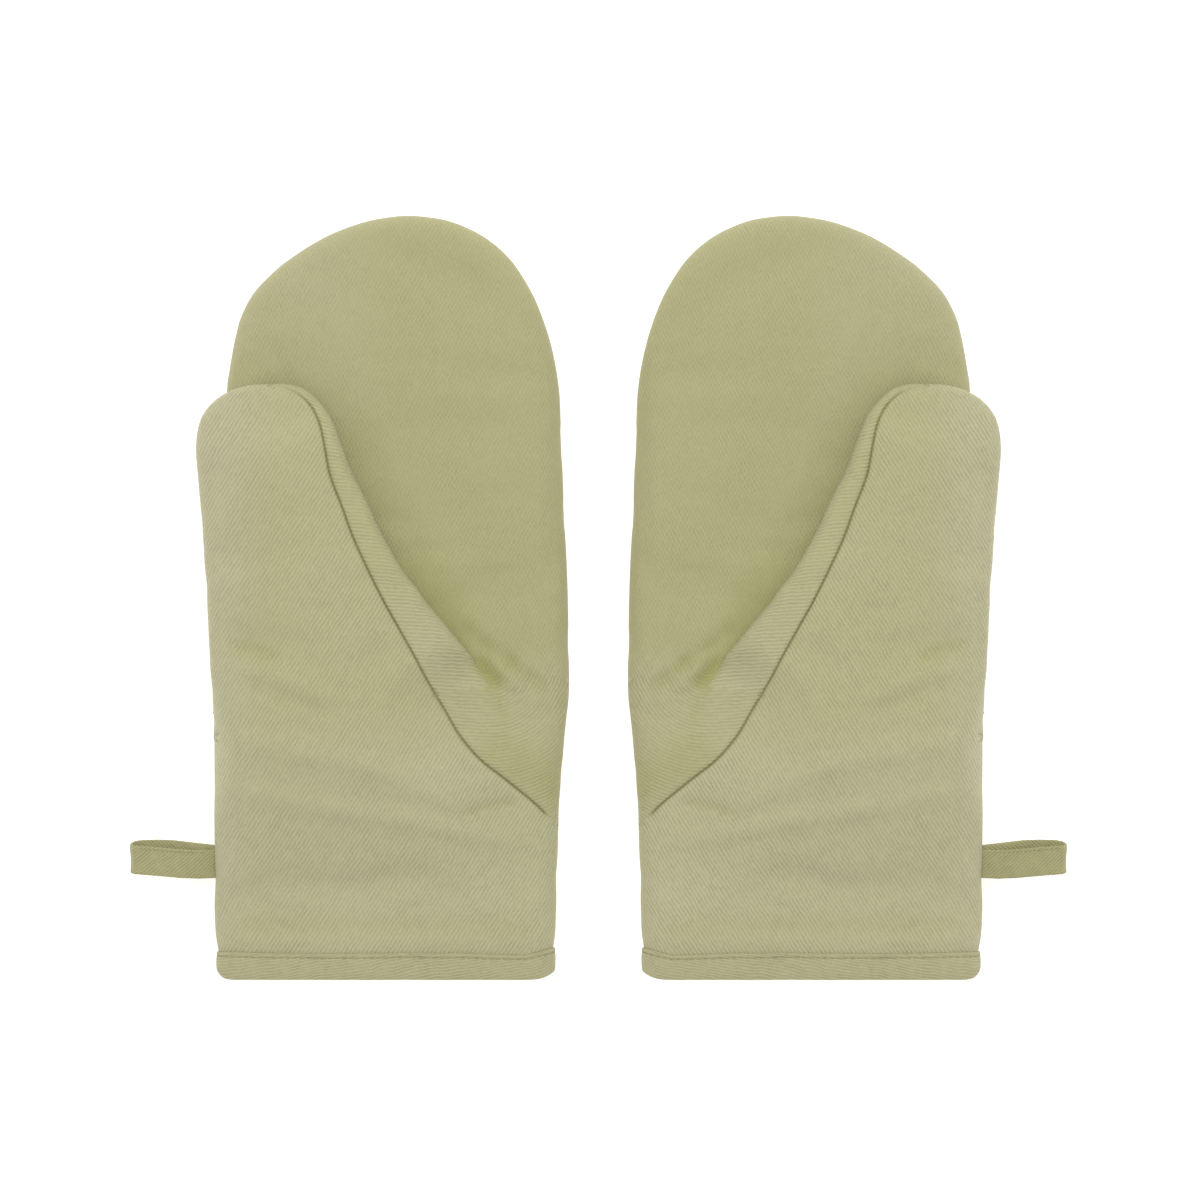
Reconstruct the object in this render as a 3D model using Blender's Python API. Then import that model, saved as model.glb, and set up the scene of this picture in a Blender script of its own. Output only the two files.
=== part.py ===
"""Builds a pair of padded oven gloves in cotton twill, lying flat with the palms up.

Each glove is a mitten of three panels: a back panel, an inner panel that lines the palm and the
inner side of the thumb, and a front panel that runs from the cuff up the thumb. A panel is a shell
of twill, a sheet of wadding and a lining. The thumb lies folded over the palm, a binding wraps the
cuff and a loop of tape stands out of the side seam. Sizes are in metres and +Z is up.
"""

import math

import bmesh
import bpy
from mathutils import Vector

# Overall sizes
GLOVE_LENGTH = 0.330
HAND_WIDTH = 0.160
CUFF_CENTRE_X = 0.0919
HAND_THICKNESS = 0.0202
THUMB_THICKNESS = 0.0167

# Cloth and wadding
TWILL_THICKNESS = 0.0008
WADDING_THICKNESS = 0.0032
BOUND_WADDING_THICKNESS = 0.0014
LINING_THICKNESS = 0.0005
CLEARANCE = 0.0003

# Hand, measured up from the cuff's edge
FOLD_HEIGHT = 0.1047
SEAM_END_HEIGHT = 0.0688
DOME_RISE = 0.0731
DOME_CENTRE_X = 0.0078
SWELL_START_HEIGHT = 0.035
EDGE_ROUNDING = 0.020

# Thumb, measured up from the fold
THUMB_LENGTH = 0.1522
THUMB_WIDTH = 0.0610
THUMB_DOME_RISE = 0.0272
THUMB_EDGE_ROUNDING = 0.014
THUMB_HINGE_RISE = 0.0003

# Cuff binding
BINDING_WIDTH = 0.012
BINDING_THICKNESS = 0.0008
CUFF_CORNER_LIFT = 0.004

# Hanging loop
LOOP_LENGTH = 0.0362
LOOP_HEIGHT = 0.0506
TAPE_WIDTH = 0.0130
TAPE_THICKNESS = 0.0011
LOOP_EYE_HEIGHT = 0.0058
LOOP_NECK_LENGTH = 0.0045
LOOP_OPENING_LENGTH = 0.0085
LOOP_REAR_SHIFT = 0.0024

# The sides of the hand: height as a share of the glove's length, left and right of the cuff's
# centre as shares of the hand's width
HAND_SIDE_SHARES = (
    (0.000, -0.457, 0.457),
    (0.100, -0.460, 0.458),
    (0.215, -0.463, 0.465),
    (0.265, -0.465, 0.470),
    (0.317, -0.465, 0.478),
    (0.365, -0.462, 0.492),
    (0.445, -0.456, 0.493),
    (0.600, -0.443, 0.481),
    (0.700, -0.434, 0.475),
    (0.779, -0.426, 0.464),
)

# The sides of the thumb: height as a share of the thumb's length, left and right of the cuff's
# centre as shares of the hand's width, and how far in from the right side the front seam lies, as a
# share of the thumb's width
THUMB_SIDE_SHARES = (
    (0.000, -0.468, 0.322, 0.312),
    (0.105, -0.470, 0.295, 0.390),
    (0.247, -0.473, 0.216, 0.397),
    (0.389, -0.480, 0.111, 0.319),
    (0.531, -0.488, 0.014, 0.227),
    (0.673, -0.500, -0.059, 0.177),
    (0.821, -0.511, -0.130, 0.092),
)

# Where the rows of the surfaces lie, between the heights that they run between
PALM_ROW_SHARES = (0.24, 0.50, 0.76, 1.0)
THUMB_ROW_SHARES = (0.0, 0.14, 0.32, 0.50, 0.67, 0.84, 1.0)
# The front seam crosses the hand's rings, outermost first, at these rows below the fold
SEAM_ROW_SHARES = (0.0, 0.084, 0.19, 0.396, 1.0)
CUFF_ROW_SHARE = 0.5
MIDDLE_SHARE = 0.5
# The sharpest corner of a rim that is drawn in by its whole clearance
LEAST_MITRE_SHARE = 0.5
# Rings inwards from the side: shares of the edge rounding
BACK_RING_SHARES = (0.0, 0.125, 0.4, 1.0)
THUMB_RING_SHARES = (0.0, 0.18, 0.55, 1.0)
# The top's rings, where the last lies on the front seam at the fold
TOP_RING_SHARES = (0.0, 0.125, 0.4, 1.0, 2.2)
# How a cuff corner's lift falls off over the outer rings
CORNER_LIFT_SHARES = (1.0, 0.4)
# Where the thumb's swelling dies out towards the right side, in shares of the edge rounding
SWELL_INNER_SHARE = 2.5
SWELL_OUTER_SHARE = 0.4
# Between the side and the seam, and between the seam and the middle of the thumb
THUMB_STRIP_SHARE = 0.25
THUMB_FRONT_SHARE = 0.45

HAND_DOME_STEPS = 10
THUMB_DOME_STEPS = 8
THUMB_DOME_POWER = 2.2
# Steps round the thumb's dome at which the seam leaves the side, then lies on the front
SEAM_LEAVES_STEP = 5
LOOP_END_STEPS = 6
LOOP_ROOT_STEPS = 4

# Where the rounded ends of the hand and of the thumb begin
DOME_HEIGHT = GLOVE_LENGTH - DOME_RISE
THUMB_DOME_HEIGHT = THUMB_LENGTH - THUMB_DOME_RISE

SEAM_LEVEL = HAND_THICKNESS / 2
THUMB_LEVEL = HAND_THICKNESS + CLEARANCE + THUMB_THICKNESS / 2
SWELL_HEIGHT = THUMB_THICKNESS + CLEARANCE
BINDING_DEPTH = BINDING_THICKNESS + CLEARANCE

COLOURS = {
    "sage_twill": (0.45, 0.42, 0.25, 1.0),
    "white_wadding": (0.82, 0.80, 0.74, 1.0),
    "sage_lining": (0.52, 0.50, 0.34, 1.0),
    "sage_binding": (0.43, 0.40, 0.23, 1.0),
    "sage_tape": (0.38, 0.35, 0.19, 1.0),
}


def interpolate(table, height, column):
    """Reads a column of a table of shares at a height, along straight lines."""
    for lower, upper in zip(table, table[1:]):
        if height <= upper[0]:
            part = (height - lower[0]) / (upper[0] - lower[0])
            return lower[column] + (upper[column] - lower[column]) * part
    return table[-1][column]


def smooth(part):
    """Rises smoothly from 0 to 1."""
    part = min(max(part, 0.0), 1.0)
    return part * part * (3 - 2 * part)


def swelling(inset, rounding):
    """The height of a rounded edge at an inset from the side, as a share of its full height."""
    if inset >= rounding:
        return 1.0
    return math.sqrt(1 - (1 - inset / rounding) ** 2)


def hand_side(height, column):
    """The hand's left (1) or right (2) side at a height."""
    return interpolate(HAND_SIDE_SHARES, height / GLOVE_LENGTH, column) * HAND_WIDTH


def thumb_side(height, column):
    """The thumb's left (1) or right (2) side at a height above the fold."""
    return interpolate(THUMB_SIDE_SHARES, height / THUMB_LENGTH, column) * HAND_WIDTH


def thumb_seam_inset(height):
    """How far the front seam lies in from the thumb's right side."""
    return interpolate(THUMB_SIDE_SHARES, height / THUMB_LENGTH, 3) * THUMB_WIDTH


def dome_point(centre, left, right, rise, part, power):
    """A point on a rounded end, from its left (part 0) over its top to its right (part 1)."""
    angle = math.pi * (1 - part)
    across = abs(math.cos(angle)) ** (2 / power)
    along = math.sin(angle) ** (2 / power)
    reach = right if part > MIDDLE_SHARE else -left
    return (centre[0] + reach * across, centre[1] + rise * along)


class Station:
    """A place on an outline: its point on the side, and the point inwards that it faces."""

    def __init__(self, side, middle, row, right, part=0.0):
        self.side = Vector(side)
        self.middle = Vector(middle)
        self.row = row
        self.right = right
        self.part = part
        self.width = (self.middle - self.side).length
        self.inwards = (self.middle - self.side) / self.width


def outline_stations(heights, side_of, centre, rise, steps, power):
    """The stations up the left side, round the dome and down the right side."""
    left = []
    right = []
    for row, height in enumerate(heights):
        ends = (side_of(height, 1), side_of(height, 2))
        middle = (sum(ends) / 2, height)
        if height == heights[-1]:
            middle = centre
        left.append(Station((ends[0], height), middle, row, False))
        right.append(Station((ends[1], height), middle, row, True))
    reach_left = centre[0] - side_of(heights[-1], 1)
    reach_right = side_of(heights[-1], 2) - centre[0]
    dome = []
    for step in range(1, steps):
        part = step / steps
        point = dome_point(centre, reach_left, reach_right, rise, part, power)
        dome.append(Station(point, centre, len(heights) - 1, part > MIDDLE_SHARE, part))
    return left + dome + right[::-1]


def offset_profile(profile, distance):
    """Moves a profile inwards by a distance, with mitred corners.

    The profile runs from the lower middle round the side to the upper middle, as (inset, height)
    pairs. Its first and last points move straight up and straight down.
    """
    moved = []
    last = len(profile) - 1
    for index, (inset, height) in enumerate(profile):
        if index == 0:
            moved.append((inset, height + distance))
            continue
        if index == last:
            moved.append((inset, height - distance))
            continue
        normals = []
        for start in (index - 1, index):
            along = Vector(profile[start + 1]) - Vector(profile[start])
            along.normalize()
            normals.append(Vector((along.y, -along.x)))
        bisector = (normals[0] + normals[1]) / (1 + normals[0].dot(normals[1]))
        moved.append((inset + distance * bisector.x, height + distance * bisector.y))
    return moved


def half_profile(insets, width, level, reach, rounding, upper):
    """One half of a section, from the side to the middle, as (inset, height) pairs."""
    sign = 1 if upper else -1
    points = []
    for inset in [*insets, width]:
        points.append((inset, level + sign * reach * swelling(inset, rounding)))
    return points


def offset_half(half, distance, level, upper):
    """Moves one half of a section inwards, cut level with the side seam."""
    mirrored = [(inset, 2 * level - height) for inset, height in half]
    if upper:
        whole = mirrored[::-1] + half[1:]
        return offset_profile(whole, distance)[len(half) - 1:]
    whole = half[::-1] + mirrored[1:]
    return offset_profile(whole, distance)[:len(half)][::-1]


def is_bound(height):
    """Whether a height lies inside the binding."""
    return height <= BINDING_WIDTH + CLEARANCE


def layer_depths(layer, height):
    """How deep a layer's outer and inner faces lie under the outside of the glove."""
    wadding = BOUND_WADDING_THICKNESS if is_bound(height) else WADDING_THICKNESS
    shell_inside = TWILL_THICKNESS
    wadding_outside = shell_inside + CLEARANCE
    wadding_inside = wadding_outside + wadding
    lining_outside = wadding_inside + CLEARANCE
    lining_inside = lining_outside + LINING_THICKNESS
    depths = {
        "shell": (0.0, shell_inside),
        "wadding": (wadding_outside, wadding_inside),
        "lining": (lining_outside, lining_inside),
    }
    return depths[layer]


def half_thickness(height):
    """Half the hand's thickness, less where the binding wraps it."""
    return SEAM_LEVEL - (BINDING_DEPTH if is_bound(height) else 0.0)


def hand_swell(station, inset, ring):
    """How far the front panel is lifted by the thumb's root at a ring of a station."""
    if ring == 0:
        return 0.0
    height = station.side.y
    climb = smooth((height - SWELL_START_HEIGHT) / (FOLD_HEIGHT - SWELL_START_HEIGHT))
    if not station.right:
        return SWELL_HEIGHT * climb
    inner = SWELL_INNER_SHARE * EDGE_ROUNDING
    outer = SWELL_OUTER_SHARE * EDGE_ROUNDING
    return SWELL_HEIGHT * climb * smooth((inset - outer) / (inner - outer))


def place(station, inset, height, lift=0.0):
    """A point of a section, in the glove's own frame."""
    at = station.side + station.inwards * inset
    return Vector((at.x, at.y + lift, height))


def corner_lift(height, ring):
    """How far the cuff's edge is drawn up at its rounded corners."""
    if height > BINDING_DEPTH or ring >= len(CORNER_LIFT_SHARES):
        return 0.0
    return CUFF_CORNER_LIFT * CORNER_LIFT_SHARES[ring]


def hand_surface(stations, ring_shares, upper, layer, swells):
    """The outer and inner faces of one layer on one side of the hand, by station and ring."""
    outer = {}
    inner = {}
    insets = [share * EDGE_ROUNDING for share in ring_shares]
    for index, station in enumerate(stations):
        height = station.side.y
        reach = half_thickness(height)
        half = half_profile(insets, station.width, SEAM_LEVEL, reach, EDGE_ROUNDING, upper)
        for depth, face in zip(layer_depths(layer, height), (outer, inner)):
            moved = offset_half(half, depth, SEAM_LEVEL, upper)
            for ring, (inset, level) in enumerate(moved):
                lift = corner_lift(height, ring)
                key = ring_key(stations, index, ring, len(insets))
                face[key] = place(station, inset, level, lift)
                if swells:
                    swell = hand_swell(station, half[ring][0], ring)
                    raised = face[key] + Vector((0.0, 0.0, swell))
                    face[("raised", *key)] = raised
    return outer, inner


def ring_key(stations, index, ring, middle_ring):
    """The name of a point, which the left and right sides share along the middle."""
    if ring == middle_ring:
        return ("middle", stations[index].row)
    return (index, ring)


def cell_triangles(stations, index, ring, middle_ring, falling):
    """The two triangles of a cell between two stations and two rings."""
    near = [ring_key(stations, index, ring + step, middle_ring) for step in (0, 1)]
    far = [ring_key(stations, index + 1, ring + step, middle_ring) for step in (0, 1)]
    if falling:
        return [(near[0], near[1], far[0]), (near[1], far[1], far[0])]
    return [(near[0], far[1], far[0]), (near[0], near[1], far[1])]


def proper(triangles):
    """Leaves out the triangles that shrink to a line where a ring closes."""
    return [corners for corners in triangles if len(set(corners)) == 3]


def raised(triangles, outer, flat):
    """Names the raised points of triangles, where raising moves them."""
    named = []
    for corners in triangles:
        names = []
        for key in corners:
            lifted = ("raised", *key)
            same = (outer[lifted] - outer[key]).length < flat
            names.append(key if same else lifted)
        named.append(tuple(names))
    return named


def rim_shifts(triangles, points, amount):
    """How each point on the rim of a surface moves inwards, for the clearance at a seam."""
    edges = {}
    for corners in triangles:
        for start in range(3):
            edge = (corners[start], corners[(start + 1) % 3])
            other = corners[(start + 2) % 3]
            edges.setdefault(frozenset(edge), []).append((edge, other))
    shifts = {}
    rim = []
    for uses in edges.values():
        if len(uses) != 1:
            continue
        (first, second), other = uses[0]
        rim.append((first, second))
        along = (points[second] - points[first]).normalized()
        across = points[other] - points[first]
        across -= along * across.dot(along)
        for key in (first, second):
            shifts.setdefault(key, []).append(across.normalized())
    moves = {}
    for key, ways in shifts.items():
        total = sum(ways, Vector((0.0, 0.0, 0.0)))
        reach = max(total.length_squared / len(ways), LEAST_MITRE_SHARE)
        moves[key] = total * (amount / reach) if len(ways) == 2 else total * 0.0
    return rim, moves


def sheet_mesh(name, triangles, outer, inner, side, origin):
    """Closes a layer into one solid, drawn in by half a clearance at its rim."""
    used = sorted({key for corners in triangles for key in corners}, key=str)
    rim, outer_moves = rim_shifts(triangles, outer, CLEARANCE / 2)
    inner_moves = rim_shifts(triangles, inner, CLEARANCE / 2)[1]
    still = Vector((0.0, 0.0, 0.0))
    shape = bmesh.new()
    top = {}
    bottom = {}
    for key in used:
        top[key] = shape.verts.new(outer[key] + outer_moves.get(key, still))
        bottom[key] = shape.verts.new(inner[key] + inner_moves.get(key, still))
    for corners in triangles:
        shape.faces.new([top[key] for key in corners])
        shape.faces.new([bottom[key] for key in reversed(corners)])
    for first, second in rim:
        shape.faces.new([top[second], top[first], bottom[first], bottom[second]])
    return finish_mesh(name, shape, side, origin)


def finish_mesh(name, shape, side, origin):
    """Turns a shape in the left glove's frame into an object of the left or the right glove."""
    for vert in shape.verts:
        vert.co.x = side * (CUFF_CENTRE_X - vert.co.x)
        vert.co.y -= GLOVE_LENGTH / 2
        vert.co -= origin
    bmesh.ops.triangulate(shape, faces=shape.faces)
    bmesh.ops.recalc_face_normals(shape, faces=shape.faces)
    mesh = bpy.data.meshes.new(name)
    shape.to_mesh(mesh)
    shape.free()
    mesh.shade_smooth()
    mesh.set_sharp_from_angle(angle=math.radians(50))
    piece = bpy.data.objects.new(name, mesh)
    piece.location = origin
    bpy.context.scene.collection.objects.link(piece)
    return piece


def glove_point(side, x, height, z):
    """A point of the glove's own frame, in the pair's frame."""
    return Vector((side * (CUFF_CENTRE_X - x), height - GLOVE_LENGTH / 2, z))


def cloth_material(name, roughness):
    """A plain cloth material in one of the pair's colours."""
    material = bpy.data.materials.get(name)
    if material is None:
        material = bpy.data.materials.new(name)
        material.use_nodes = True
        shader = material.node_tree.nodes["Principled BSDF"]
        shader.inputs["Base Color"].default_value = COLOURS[name]
        shader.inputs["Roughness"].default_value = roughness
        shader.inputs["Metallic"].default_value = 0.0
        material.diffuse_color = COLOURS[name]
    return material


def twill():
    """The outer cotton twill."""
    return cloth_material("sage_twill", 0.9)


def wadding():
    """The white quilt wadding."""
    return cloth_material("white_wadding", 1.0)


def lining():
    """The plain cotton lining."""
    return cloth_material("sage_lining", 0.92)


def binding_cloth():
    """The bias binding of the cuff."""
    return cloth_material("sage_binding", 0.9)


def tape():
    """The woven tape of the hanging loop."""
    return cloth_material("sage_tape", 0.88)


LAYER_MATERIALS = {"shell": twill, "wadding": wadding, "lining": lining}


def back_rows():
    """The heights of the back panel's rows."""
    return [*cuff_rows(), SEAM_END_HEIGHT, *palm_rows()]


def cuff_rows():
    """The heights of the rows from the cuff's edge to where the front panel is free of it."""
    loose = 2 * BINDING_WIDTH
    halfway = loose + (SEAM_END_HEIGHT - loose) * CUFF_ROW_SHARE
    return [BINDING_DEPTH, BINDING_WIDTH, loose, halfway]


def seam_rows():
    """The heights at which the front seam crosses the rings, up to the fold."""
    span = FOLD_HEIGHT - SEAM_END_HEIGHT
    return [SEAM_END_HEIGHT + span * share for share in SEAM_ROW_SHARES]


def palm_rows():
    """The heights of the rows from the fold to the foot of the fingertip dome."""
    span = DOME_HEIGHT - FOLD_HEIGHT
    return [FOLD_HEIGHT, *[FOLD_HEIGHT + span * share for share in PALM_ROW_SHARES]]


def hand_stations(heights):
    """The stations round the hand, from the cuff's left end to its right end."""
    centre = (DOME_CENTRE_X, DOME_HEIGHT)
    return outline_stations(heights, hand_side, centre, DOME_RISE, HAND_DOME_STEPS, 2.0)


def back_panel(side, word, layer):
    """The back of the hand, which lies on the table."""
    stations = hand_stations(back_rows())
    outer, inner = hand_surface(stations, BACK_RING_SHARES, False, layer, False)
    rings = len(BACK_RING_SHARES)
    triangles = []
    for index in range(len(stations) - 1):
        for ring in range(rings):
            triangles += cell_triangles(stations, index, ring, rings, stations[index].right)
    name = f"{word}_back_{layer}"
    return sheet_mesh(name, proper(triangles), outer, inner, side, still_origin(side))


def top_triangles(stations, below_fold, seam_row):
    """The triangles of the hand's upper side, shared out between the palm and the front panel."""
    rings = len(TOP_RING_SHARES)
    palm = []
    web = []
    front = []
    for index in range(len(stations) - 1):
        lower = min(stations[index].row, stations[index + 1].row)
        right = stations[index].right
        for ring in range(rings):
            pair = cell_triangles(stations, index, ring, rings, right)
            if lower >= below_fold:
                palm += pair
            elif not right or lower < seam_row or ring > lower - seam_row:
                front += pair
            elif ring < lower - seam_row:
                web += pair
            else:
                web.append(pair[0])
                front.append(pair[1])
    return proper(palm), proper(web), proper(front)


def top_panels(side, word, layer):
    """The palm, with the web of cloth beside the thumb's root, and the cuff's front."""
    low = cuff_rows()
    rows = [*low, *seam_rows(), *palm_rows()[1:]]
    stations = hand_stations(rows)
    fold_row = len(low) + len(SEAM_ROW_SHARES) - 1
    outer, inner = hand_surface(stations, TOP_RING_SHARES, True, layer, True)
    palm, web, front = top_triangles(stations, fold_row, len(low))
    flat = CLEARANCE / 2
    palm += raised(web, outer, flat)
    front = raised(front, outer, flat)
    origin = still_origin(side)
    return [
        sheet_mesh(f"{word}_palm_{layer}", palm, outer, inner, side, origin),
        sheet_mesh(f"{word}_cuff_front_{layer}", front, outer, inner, side, origin),
    ]


def thumb_stations():
    """The stations round the thumb, from the fold's left end to its right end."""
    heights = [THUMB_DOME_HEIGHT * share for share in THUMB_ROW_SHARES]
    ends = [thumb_side(THUMB_DOME_HEIGHT, column) for column in (1, 2)]
    centre = (sum(ends) / 2, THUMB_DOME_HEIGHT)
    return outline_stations(
        heights, thumb_side, centre, THUMB_DOME_RISE, THUMB_DOME_STEPS, THUMB_DOME_POWER
    )


def seam_ring(station):
    """The ring of the thumb's upper side on which the seam lies at a station."""
    if not station.right:
        return 0
    step = round(station.part * THUMB_DOME_STEPS)
    if station.part and step <= SEAM_LEAVES_STEP + 1:
        return step - SEAM_LEAVES_STEP
    return 2


def thumb_profile(station):
    """The thumb's whole section at a station, from its lower to its upper middle."""
    reach = THUMB_THICKNESS / 2
    rounding = THUMB_EDGE_ROUNDING
    insets = [share * rounding for share in THUMB_RING_SHARES]
    lower = half_profile(insets, station.width, THUMB_LEVEL, reach, rounding, False)
    if station.right:
        seam = thumb_seam_inset(min(station.side.y, THUMB_DOME_HEIGHT))
        front = seam + (station.width - seam) * THUMB_FRONT_SHARE
        insets = [0.0, seam * THUMB_STRIP_SHARE, seam, front]
    upper = half_profile(insets, station.width, THUMB_LEVEL, reach, rounding, True)
    return lower[::-1] + upper[1:]


def thumb_surface(stations, layer):
    """The outer and inner faces of one layer right round the thumb, by station and column."""
    outer = {}
    inner = {}
    for index, station in enumerate(stations):
        profile = thumb_profile(station)
        for depth, face in zip(layer_depths(layer, FOLD_HEIGHT), (outer, inner)):
            for column, (inset, level) in enumerate(offset_profile(profile, depth)):
                key = column_key(stations, index, column, len(profile) - 1)
                face[key] = place(station, inset, level, FOLD_HEIGHT)
    return outer, inner


def column_key(stations, index, column, last):
    """The name of a point round the thumb, shared along its lower and upper middles."""
    if column == 0:
        return ("lower", stations[index].row)
    if column == last:
        return ("upper", stations[index].row)
    return (index, column)


def thumb_panels(side, word, layer):
    """The thumb's front, and its inner side with the strip that wraps round to the seam."""
    stations = thumb_stations()
    outer, inner = thumb_surface(stations, layer)
    side_column = len(THUMB_RING_SHARES)
    last = 2 * side_column
    front = []
    inside = []
    for index in range(len(stations) - 1):
        here, there = stations[index], stations[index + 1]
        seam = side_column + seam_ring(here)
        step = side_column + seam_ring(there) - seam
        for column in range(last):
            near = [column_key(stations, index, column + add, last) for add in (0, 1)]
            far = [column_key(stations, index + 1, column + add, last) for add in (0, 1)]
            towards = (near[0], far[0], far[1])
            away = (near[0], far[1], near[1])
            inside += [towards] * (column < seam + step) + [away] * (column < seam)
            front += [towards] * (column >= seam + step) + [away] * (column >= seam)
    origin = thumb_hinge(side)
    return [
        sheet_mesh(f"{word}_thumb_front_{layer}", proper(front), outer, inner, side, origin),
        sheet_mesh(f"{word}_thumb_inner_{layer}", proper(inside), outer, inner, side, origin),
    ]


def still_origin(side):
    """The reference point of a hand: the middle of its cuff's edge, on the table."""
    return glove_point(side, 0.0, 0.0, 0.0)


def thumb_hinge(side):
    """A point on the fold that the thumb turns about, along the top of the front panel."""
    middle = (thumb_side(0.0, 1) + thumb_side(0.0, 2)) / 2
    top = HAND_THICKNESS + SWELL_HEIGHT + THUMB_HINGE_RISE
    return glove_point(side, middle, FOLD_HEIGHT, top)


def cuff_binding(side, word):
    """The bias binding, folded over the edges of the front and the back round the cuff."""
    upper = ring_sections(TOP_RING_SHARES, True)
    lower = ring_sections(TOP_RING_SHARES, False)
    loop = lower[0][::-1] + upper[0][1:-1] + upper[1][::-1] + lower[1][1:-1]
    shape = bmesh.new()
    rings = []
    for section in loop:
        rings.append([shape.verts.new(point) for point in section])
    for near, far in zip(rings, rings[1:] + rings[:1]):
        for corner in range(len(near)):
            after = (corner + 1) % len(near)
            shape.faces.new([near[corner], near[after], far[after], far[corner]])
    return finish_mesh(f"{word}_cuff_binding", shape, side, still_origin(side))


def ring_sections(ring_shares, upper):
    """The binding's U-shaped sections on one face of the cuff, side to middle, left then right."""
    stack = layer_depths("lining", 0.0)[1] + CLEARANCE
    depths = (-BINDING_DEPTH, -CLEARANCE, stack, stack + BINDING_THICKNESS)
    insets = [share * EDGE_ROUNDING for share in ring_shares]
    halves = []
    for column in (1, 2):
        ends = (hand_side(0.0, 1), hand_side(0.0, 2))
        side_end = (ends[column - 1], 0.0)
        station = Station(side_end, (sum(ends) / 2, 0.0), 0, column == 2)
        reach = half_thickness(0.0)
        half = half_profile(insets, station.width, SEAM_LEVEL, reach, EDGE_ROUNDING, upper)
        legs = [offset_half(half, depth, SEAM_LEVEL, upper) for depth in depths]
        sections = []
        for ring in range(len(half)):
            edge = corner_lift(0.0, ring)
            floor = edge + BINDING_THICKNESS
            corners = (
                (0, BINDING_WIDTH), (1, BINDING_WIDTH), (1, floor), (2, floor),
                (2, BINDING_WIDTH), (3, BINDING_WIDTH), (3, edge), (0, edge),
            )
            points = [place(station, *legs[leg][ring], height) for leg, height in corners]
            sections.append(points)
        halves.append(sections)
    return halves


def loop_half_height(along):
    """Half the height of the loop's eye, at a distance from its root."""
    opened = smooth((along - LOOP_NECK_LENGTH) / LOOP_OPENING_LENGTH)
    least = CLEARANCE / 2
    return least + (LOOP_EYE_HEIGHT / 2 - least) * opened


def loop_path():
    """The eye's outline from the root along the lower run, round the end and back, with normals."""
    end_radius = LOOP_EYE_HEIGHT / 2
    straight = LOOP_LENGTH - CLEARANCE - TAPE_THICKNESS - end_radius
    neck = LOOP_NECK_LENGTH
    open_at = LOOP_NECK_LENGTH + LOOP_OPENING_LENGTH
    stops = [neck, (neck + open_at) / 2, open_at, (open_at + straight) / 2, straight]
    lower = [(stop, -loop_half_height(stop)) for stop in stops]
    turn = []
    for step in range(1, LOOP_END_STEPS):
        angle = math.pi * (step / LOOP_END_STEPS - MIDDLE_SHARE)
        turn.append((straight + end_radius * math.cos(angle), end_radius * math.sin(angle)))
    upper = [(along, -height) for along, height in reversed(lower)]
    return lower + turn + upper


def hanging_loop(side, word):
    """The loop of tape, open at its eye, with a rounded root beside the side seam."""
    eye = loop_path()
    outside = offset_open(eye, TAPE_THICKNESS)
    root_radius = -outside[0][1]
    root = loop_root(root_radius)
    rim = root + outside[::-1]
    shape = bmesh.new()
    start_x = hand_side(LOOP_HEIGHT, 1) - CLEARANCE
    faces = {}
    for edge in (-1, 1):
        for kind, points in (("eye", eye), ("rim", rim)):
            verts = []
            for along, height in points:
                shift = rear_shift(along, height)
                across = LOOP_HEIGHT + edge * TAPE_WIDTH / 2 + shift
                verts.append(shape.verts.new((start_x - along, across, SEAM_LEVEL + height)))
            faces[(edge, kind)] = verts
    for kind in ("eye", "rim"):
        near, far = faces[(-1, kind)], faces[(1, kind)]
        for index in range(len(near)):
            after = (index + 1) % len(near)
            shape.faces.new([near[index], near[after], far[after], far[index]])
    for edge in (-1, 1):
        cap_loop(shape, faces[(edge, "eye")], faces[(edge, "rim")], len(root))
    return finish_mesh(f"{word}_hanging_loop", shape, side, loop_hinge(side))


def loop_root(radius):
    """The rounded root of the loop, from its lower to its upper side."""
    points = []
    for step in range(LOOP_ROOT_STEPS + 1):
        angle = math.pi * (step / LOOP_ROOT_STEPS - MIDDLE_SHARE)
        points.append((radius * (1 - math.cos(angle)), radius * math.sin(angle)))
    return points


def cap_loop(shape, eye, rim, root_count):
    """Closes one edge of the tape between the eye and the rim, and across the sewn neck."""
    band = rim[root_count:][::-1]
    for index in range(len(eye) - 1):
        shape.faces.new([eye[index], eye[index + 1], band[index + 1], band[index]])
    shape.faces.new([*rim[:root_count], band[-1], eye[-1], eye[0], band[0]])


def rear_shift(along, height):
    """How far the lower run of the tape lies towards the fingertips of the upper run."""
    lower = smooth((1 - height / (LOOP_EYE_HEIGHT / 2)) / 2)
    return LOOP_REAR_SHIFT * lower * smooth(along / (LOOP_LENGTH / 2))


def offset_open(points, distance):
    """Moves an open line outwards, to its right, by a distance."""
    moved = []
    last = len(points) - 1
    for index, point in enumerate(points):
        normals = []
        for start in {max(index - 1, 0), min(index, last - 1)}:
            along = Vector(points[start + 1]) - Vector(points[start])
            along.normalize()
            normals.append(Vector((along.y, -along.x)))
        total = sum(normals, Vector((0.0, 0.0)))
        reach = total.length_squared / len(normals)
        moved.append(tuple(Vector(point) + total * (distance / reach)))
    return moved


def loop_hinge(side):
    """The point that the loop swings about, in the middle of its sewn neck."""
    root_radius = TAPE_THICKNESS + CLEARANCE / 2
    x = hand_side(LOOP_HEIGHT, 1) - CLEARANCE - root_radius
    return glove_point(side, x, LOOP_HEIGHT, SEAM_LEVEL)


def joint_marker(name, at):
    """An empty that marks a joint's axis."""
    marker = bpy.data.objects.new(name, None)
    marker.location = at
    marker.empty_display_size = TAPE_WIDTH
    bpy.context.scene.collection.objects.link(marker)
    return marker


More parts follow.
